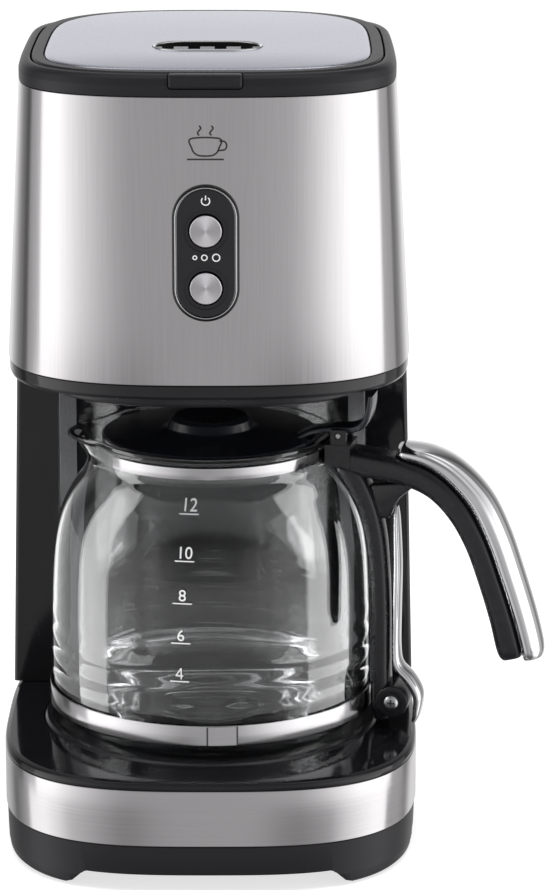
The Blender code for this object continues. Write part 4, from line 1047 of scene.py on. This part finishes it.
def build_glass():
    outside = smooth(GLASS_OUTER[::-1], 7)[:-1] + fillet(GLASS_RIM[::-1], False, 6)
    inside = fillet(GLASS_LIP[::-1], False, 6)[:-1] + smooth(GLASS_INNER[::-1], 8)
    rows = [glass_ring(r, z) for r, z in outside] + [rippled(glass_ring(r, z)) for r, z in inside]
    jug = skin("jug_glass", rows, sharp_deg=70.0)
    wear(jug, GLASS, "carafe", "carafe_glass", slot="glass")
    light_jug(jug)
    collar = ribbon("neck_band", fillet([(53.0, 176.4), (53.8, 176.4, 0.15), (53.8, 181.6, 0.15),
        (53.0, 181.6)]), -143, 143, 220)
    wear(collar, BRIGHT_BAND, "carafe", "neck_collar", slot="brushed_steel")
    belt = lathe("belt", [(74.1, 69.4, 0.2), (74.35, 60.4, 0.2), (73.7, 60.4, 0.1), (73.4, 69.4, 0.1)],
        steps=192, closed=True)
    wear(belt, BRIGHT_BAND, "carafe", "base_collar", slot="brushed_steel")
    tongue = [(74.2, 60.7), (74.75, 60.7), (74.55, 69.1), (74.0, 69.1)]
    wear(ribbon("belt_overlap", tongue, -90.2, -80.6, 13), BRIGHT_BAND, "carafe")
    edge = [(74.2, 60.7), (74.7, 60.7), (74.5, 69.1), (74.0, 69.1)]
    for name, degrees in (("left", -90.5), ("right", -80.3)):
        wear(ribbon("belt_edge_" + name, edge, degrees - 0.3, degrees + 0.3, 2), DARK_STEEL_AND_PAINTED_SHADE, "carafe")

    for cups, height in CUP_MARKS.items():
        middle = radians(MARK_TURN[cups] - 90.0)

        def on_glass(u, v, lift, z=height, start=middle):
            h = z + 3.0 + v
            r = glass_radius(h) + 0.06 + lift
            return (r * cos(start + u / r), r * sin(start + u / r), h)

        if cups == 4:
            for name, line in (("slope", [(0.75, 2.5), (-1.65, -0.95)]),
                    ("bar", [(-1.85, -0.95), (1.7, -0.95)]), ("stem", [(0.75, 2.6), (0.75, -2.5)])):
                wear(stroke("mark_4_" + name, line, 0.27, on_glass), INK, "carafe")
        else:
            wear(printed(f"mark_{cups}", str(cups), 5.1, on_glass), INK, "carafe")
        corners = ((-1, -1), (1, -1), (1, 1), (-1, 1))
        line = []
        for k in range(13):
            u = mix(-4.3, 4.3, k / 12)
            line.append([on_glass(u, 0.26 * a - 3.6, lift * INK_LIFT) for a, lift in corners])
        wear(skin(f"rule_{cups}", line), INK, "carafe")


def build_carafe_lid():
    disc = lathe("jug_lid", [(0, 179.0), (48.6, 179.0, 0.4), (49.2, 184.6, 0.6), (48.4, 185.6, 0.8),
        (22.0, 186.9, 2), (19.6, 187.6, 1.4), (18.2, 191.6, 1.0), (16.4, 192.6, 0.9), (13.4, 192.2, 1.2),
        (0, 191.4)], steps=128)
    lever = sweep("lever", [(42.0, 185.4, 1.8, 7.0), (48.0, 188.4, 1.6, 5.8), (57.0, 190.0, 1.6, 5.6),
        (66.0, 190.6, 1.8, 6.4), (71.4, 193.6, 1.7, 8.0), (73.8, 199.4, 1.4, 8.6), (74.6, 206.6, 1.1, 8.0)],
        power=4.0)
    join(disc, lever, across("knuckle", *LID_PIVOT, rod(3.1, -5.8, 5.8, 0.3)))
    cut(disc, across("bore", *LID_PIVOT, rod(1.5, -12, 12)), lathe("drip_hole", rod(2.2, 169, 199),
        steps=32))
    wear(disc, LID_GLOSS, "carafe_flap", "carafe_lid", slot="gloss_black")


# ---- CAD nodes that stay
KEPT = [(PLAIN_STEEL, ["base_screw_front_left", "base_screw_front_right", "base_screw_rear_left",
    "base_screw_rear_right", "heater_clamp", "heater_element", "valve_spring"]),
    (PIN_STEEL, ["lid_hinge_pin_left", "lid_hinge_pin_right"]),
    (MATT, ["thermostat", "power_switch", "strength_switch"]), (RUBBER, ["cord_gland", "plate_seal"]),
    (SILICONE, ["check_valve", "inlet_hose", "riser_hose"]), (ALLOY, ["water_tube"]),
    (PCB, ["control_board"])]


def dress_kept_nodes():
    for finish, names in KEPT:
        for name in names:
            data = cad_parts[name].data
            data.materials.clear()
            data.materials.append(finish)


# ---- stage
# Light all round as (degrees from straight in front, brightness). LOW_STUDIO holds below the two heights
# of FADE in degrees and STUDIO above them. SKY dims both by (degrees above the horizon, share).
STRIP_LIGHT = 1.8
STUDIO = [(-180, 1.0), (-162, 0.95), (-150, 0.6), (-139, 0.32), (-130, 0.22), (-127, 0.12), (-120, 0.12),
    (-117, 0.45), (-104, 0.62), (-98, 0.75), (-96, 1.8), (-80, 1.8), (-72, 1.75), (-64, 1.5), (-56, 1.3),
    (-50, 1.12), (-42, 0.95), (-34, 0.77), (-26, 0.61), (-18, 0.50), (0, 0.48), (20, 0.60), (31, 0.86),
    (46, 1.3), (60, 1.65), (68, 1.8), (108, 1.8), (110, 0.62), (131, 0.5), (134, 0.18), (146, 0.34),
    (166, 1.0)]
LOW_STUDIO = [(-180, 0.7), (-150, 0.5), (-137, 0.18), (-124, 0.36), (-112, 0.55), (-108, 1.45), (-86, 1.5),
    (-79, 1.35), (-68, 1.1), (-57, 0.75), (-40, 0.56), (-30, 0.44), (-21, 0.33), (-15, 0.34), (-6, 0.46),
    (0, 0.5), (5, 0.48), (12, 0.37), (20, 0.32), (30, 0.40), (40, 0.5), (50, 0.85), (57, 1.05), (70, 1.35),
    (85, 1.6), (103, 1.65), (105, 0.5), (125, 0.5), (140, 0.3), (153, 0.9), (180, 0.7)]
FADE = (-18.4, -16.0)
SKY = [(-90, 0.3), (-48, 0.35), (-32, 1.0), (4, 1.0), (10, 0.88), (15, 0.76), (20, 0.58), (30, 0.42),
    (50, 0.42), (70, 0.7), (90, 0.8)]


def ramp_of(tree, source, stops):
    """A grey value that runs through stops of (position, value)."""
    ramp = node(tree, "ValToRGB", {"Fac": source})
    elements = ramp.color_ramp.elements
    while len(elements) < len(stops):
        elements.new(0.5)
    for element, (position, value) in zip(elements, stops):
        element.position = position
        element.color = (value, value, value, 1.0)
    return ramp.outputs["Color"]


def build_world():
    """A plain studio: soft strip lights at both sides, darker towards the camera, pale behind."""
    world = bpy.data.worlds.new("studio")
    bpy.context.scene.world = world
    world.use_nodes = True
    tree = world.node_tree
    tree.nodes.clear()

    def worked_out(operation, *values):
        return node(tree, "Math", dict(enumerate(values)), operation=operation).outputs["Value"]

    way = node(tree, "SeparateXYZ", {"Vector": node(tree, "TexCoord").outputs["Generated"]}).outputs
    bearing = worked_out("ARCTAN2", way["X"], worked_out("MULTIPLY", way["Y"], -1.0))
    share = worked_out("MULTIPLY_ADD", bearing, 1 / (2 * pi), 0.5)
    below, level = [ramp_of(tree, share, [((d + 180.0) / 360.0, v / STRIP_LIGHT) for d, v in stops])
        for stops in (LOW_STUDIO, STUDIO)]
    fade_from, fade_to = [sin(radians(d)) for d in FADE]
    fade = node(tree, "MapRange", {"Value": way["Z"], "From Min": fade_from, "From Max": fade_to})
    around = node(tree, "Mix", {"Factor": fade.outputs["Result"], "A": below, "B": level}).outputs["Result"]
    up = ramp_of(tree, worked_out("MULTIPLY_ADD", way["Z"], 0.5, 0.5),
        [((sin(radians(d)) + 1) / 2, v) for d, v in SKY])
    strength = worked_out("MULTIPLY", worked_out("MULTIPLY", around, up), STRIP_LIGHT)
    studio = node(tree, "Background", {"Color": (1.0, 0.995, 1.0, 1.0), "Strength": strength})
    paper = node(tree, "Background", {"Color": (1.0, 1.0, 1.0, 1.0)})
    seen = node(tree, "LightPath").outputs["Is Camera Ray"]
    shown = node(tree, "MixShader", {"Fac": seen, 1: studio.outputs["Background"],
        2: paper.outputs["Background"]})
    node(tree, "OutputWorld", {"Surface": shown.outputs["Shader"]})


def build_stage():
    """A white paper floor and one large soft light overhead."""
    reach = 12.0
    floor = bpy.data.meshes.new("floor")
    floor.from_pydata([(-reach, -reach, 0), (reach, -reach, 0), (reach, reach, 0), (-reach, reach, 0)], [],
        [(0, 1, 2, 3)])
    paper, _, _ = new_material("paper", Base_Color=(0.6, 0.6, 0.6, 1.0), Roughness=0.9,
        Specular_IOR_Level=0.0, Emission_Color=(1.0, 1.0, 1.0, 1.0), Emission_Strength=0.7)
    floor.materials.append(paper)
    ground = add("floor", floor)
    ground.visible_glossy = False
    overhead = soft_light("overhead", 1.6, 1.2, 26.0)
    overhead.location = (0.0, -0.35, 1.9)
    overhead.rotation_euler = (radians(-8.0), 0.0, 0.0)
    overhead.visible_glossy = False


def build_camera():
    camera = bpy.data.cameras.new("camera")
    camera.lens = 150.76
    camera.sensor_width = 36.0
    camera.clip_end = 50.0
    viewer = add("camera", camera)
    viewer.location = spot((29.0, -1634.5, 602.5))
    viewer.rotation_euler = (radians(90.0 - 14.54), 0.0, 0.0)
    bpy.context.scene.camera = viewer
    bpy.context.scene.view_settings.view_transform = "Standard"


build_camera()
build_world()
build_stage()
build_base()
build_column()
build_head()
build_controls()
build_lid()
build_basket()
build_handle()
build_glass()
build_carafe_lid()
dress_kept_nodes()
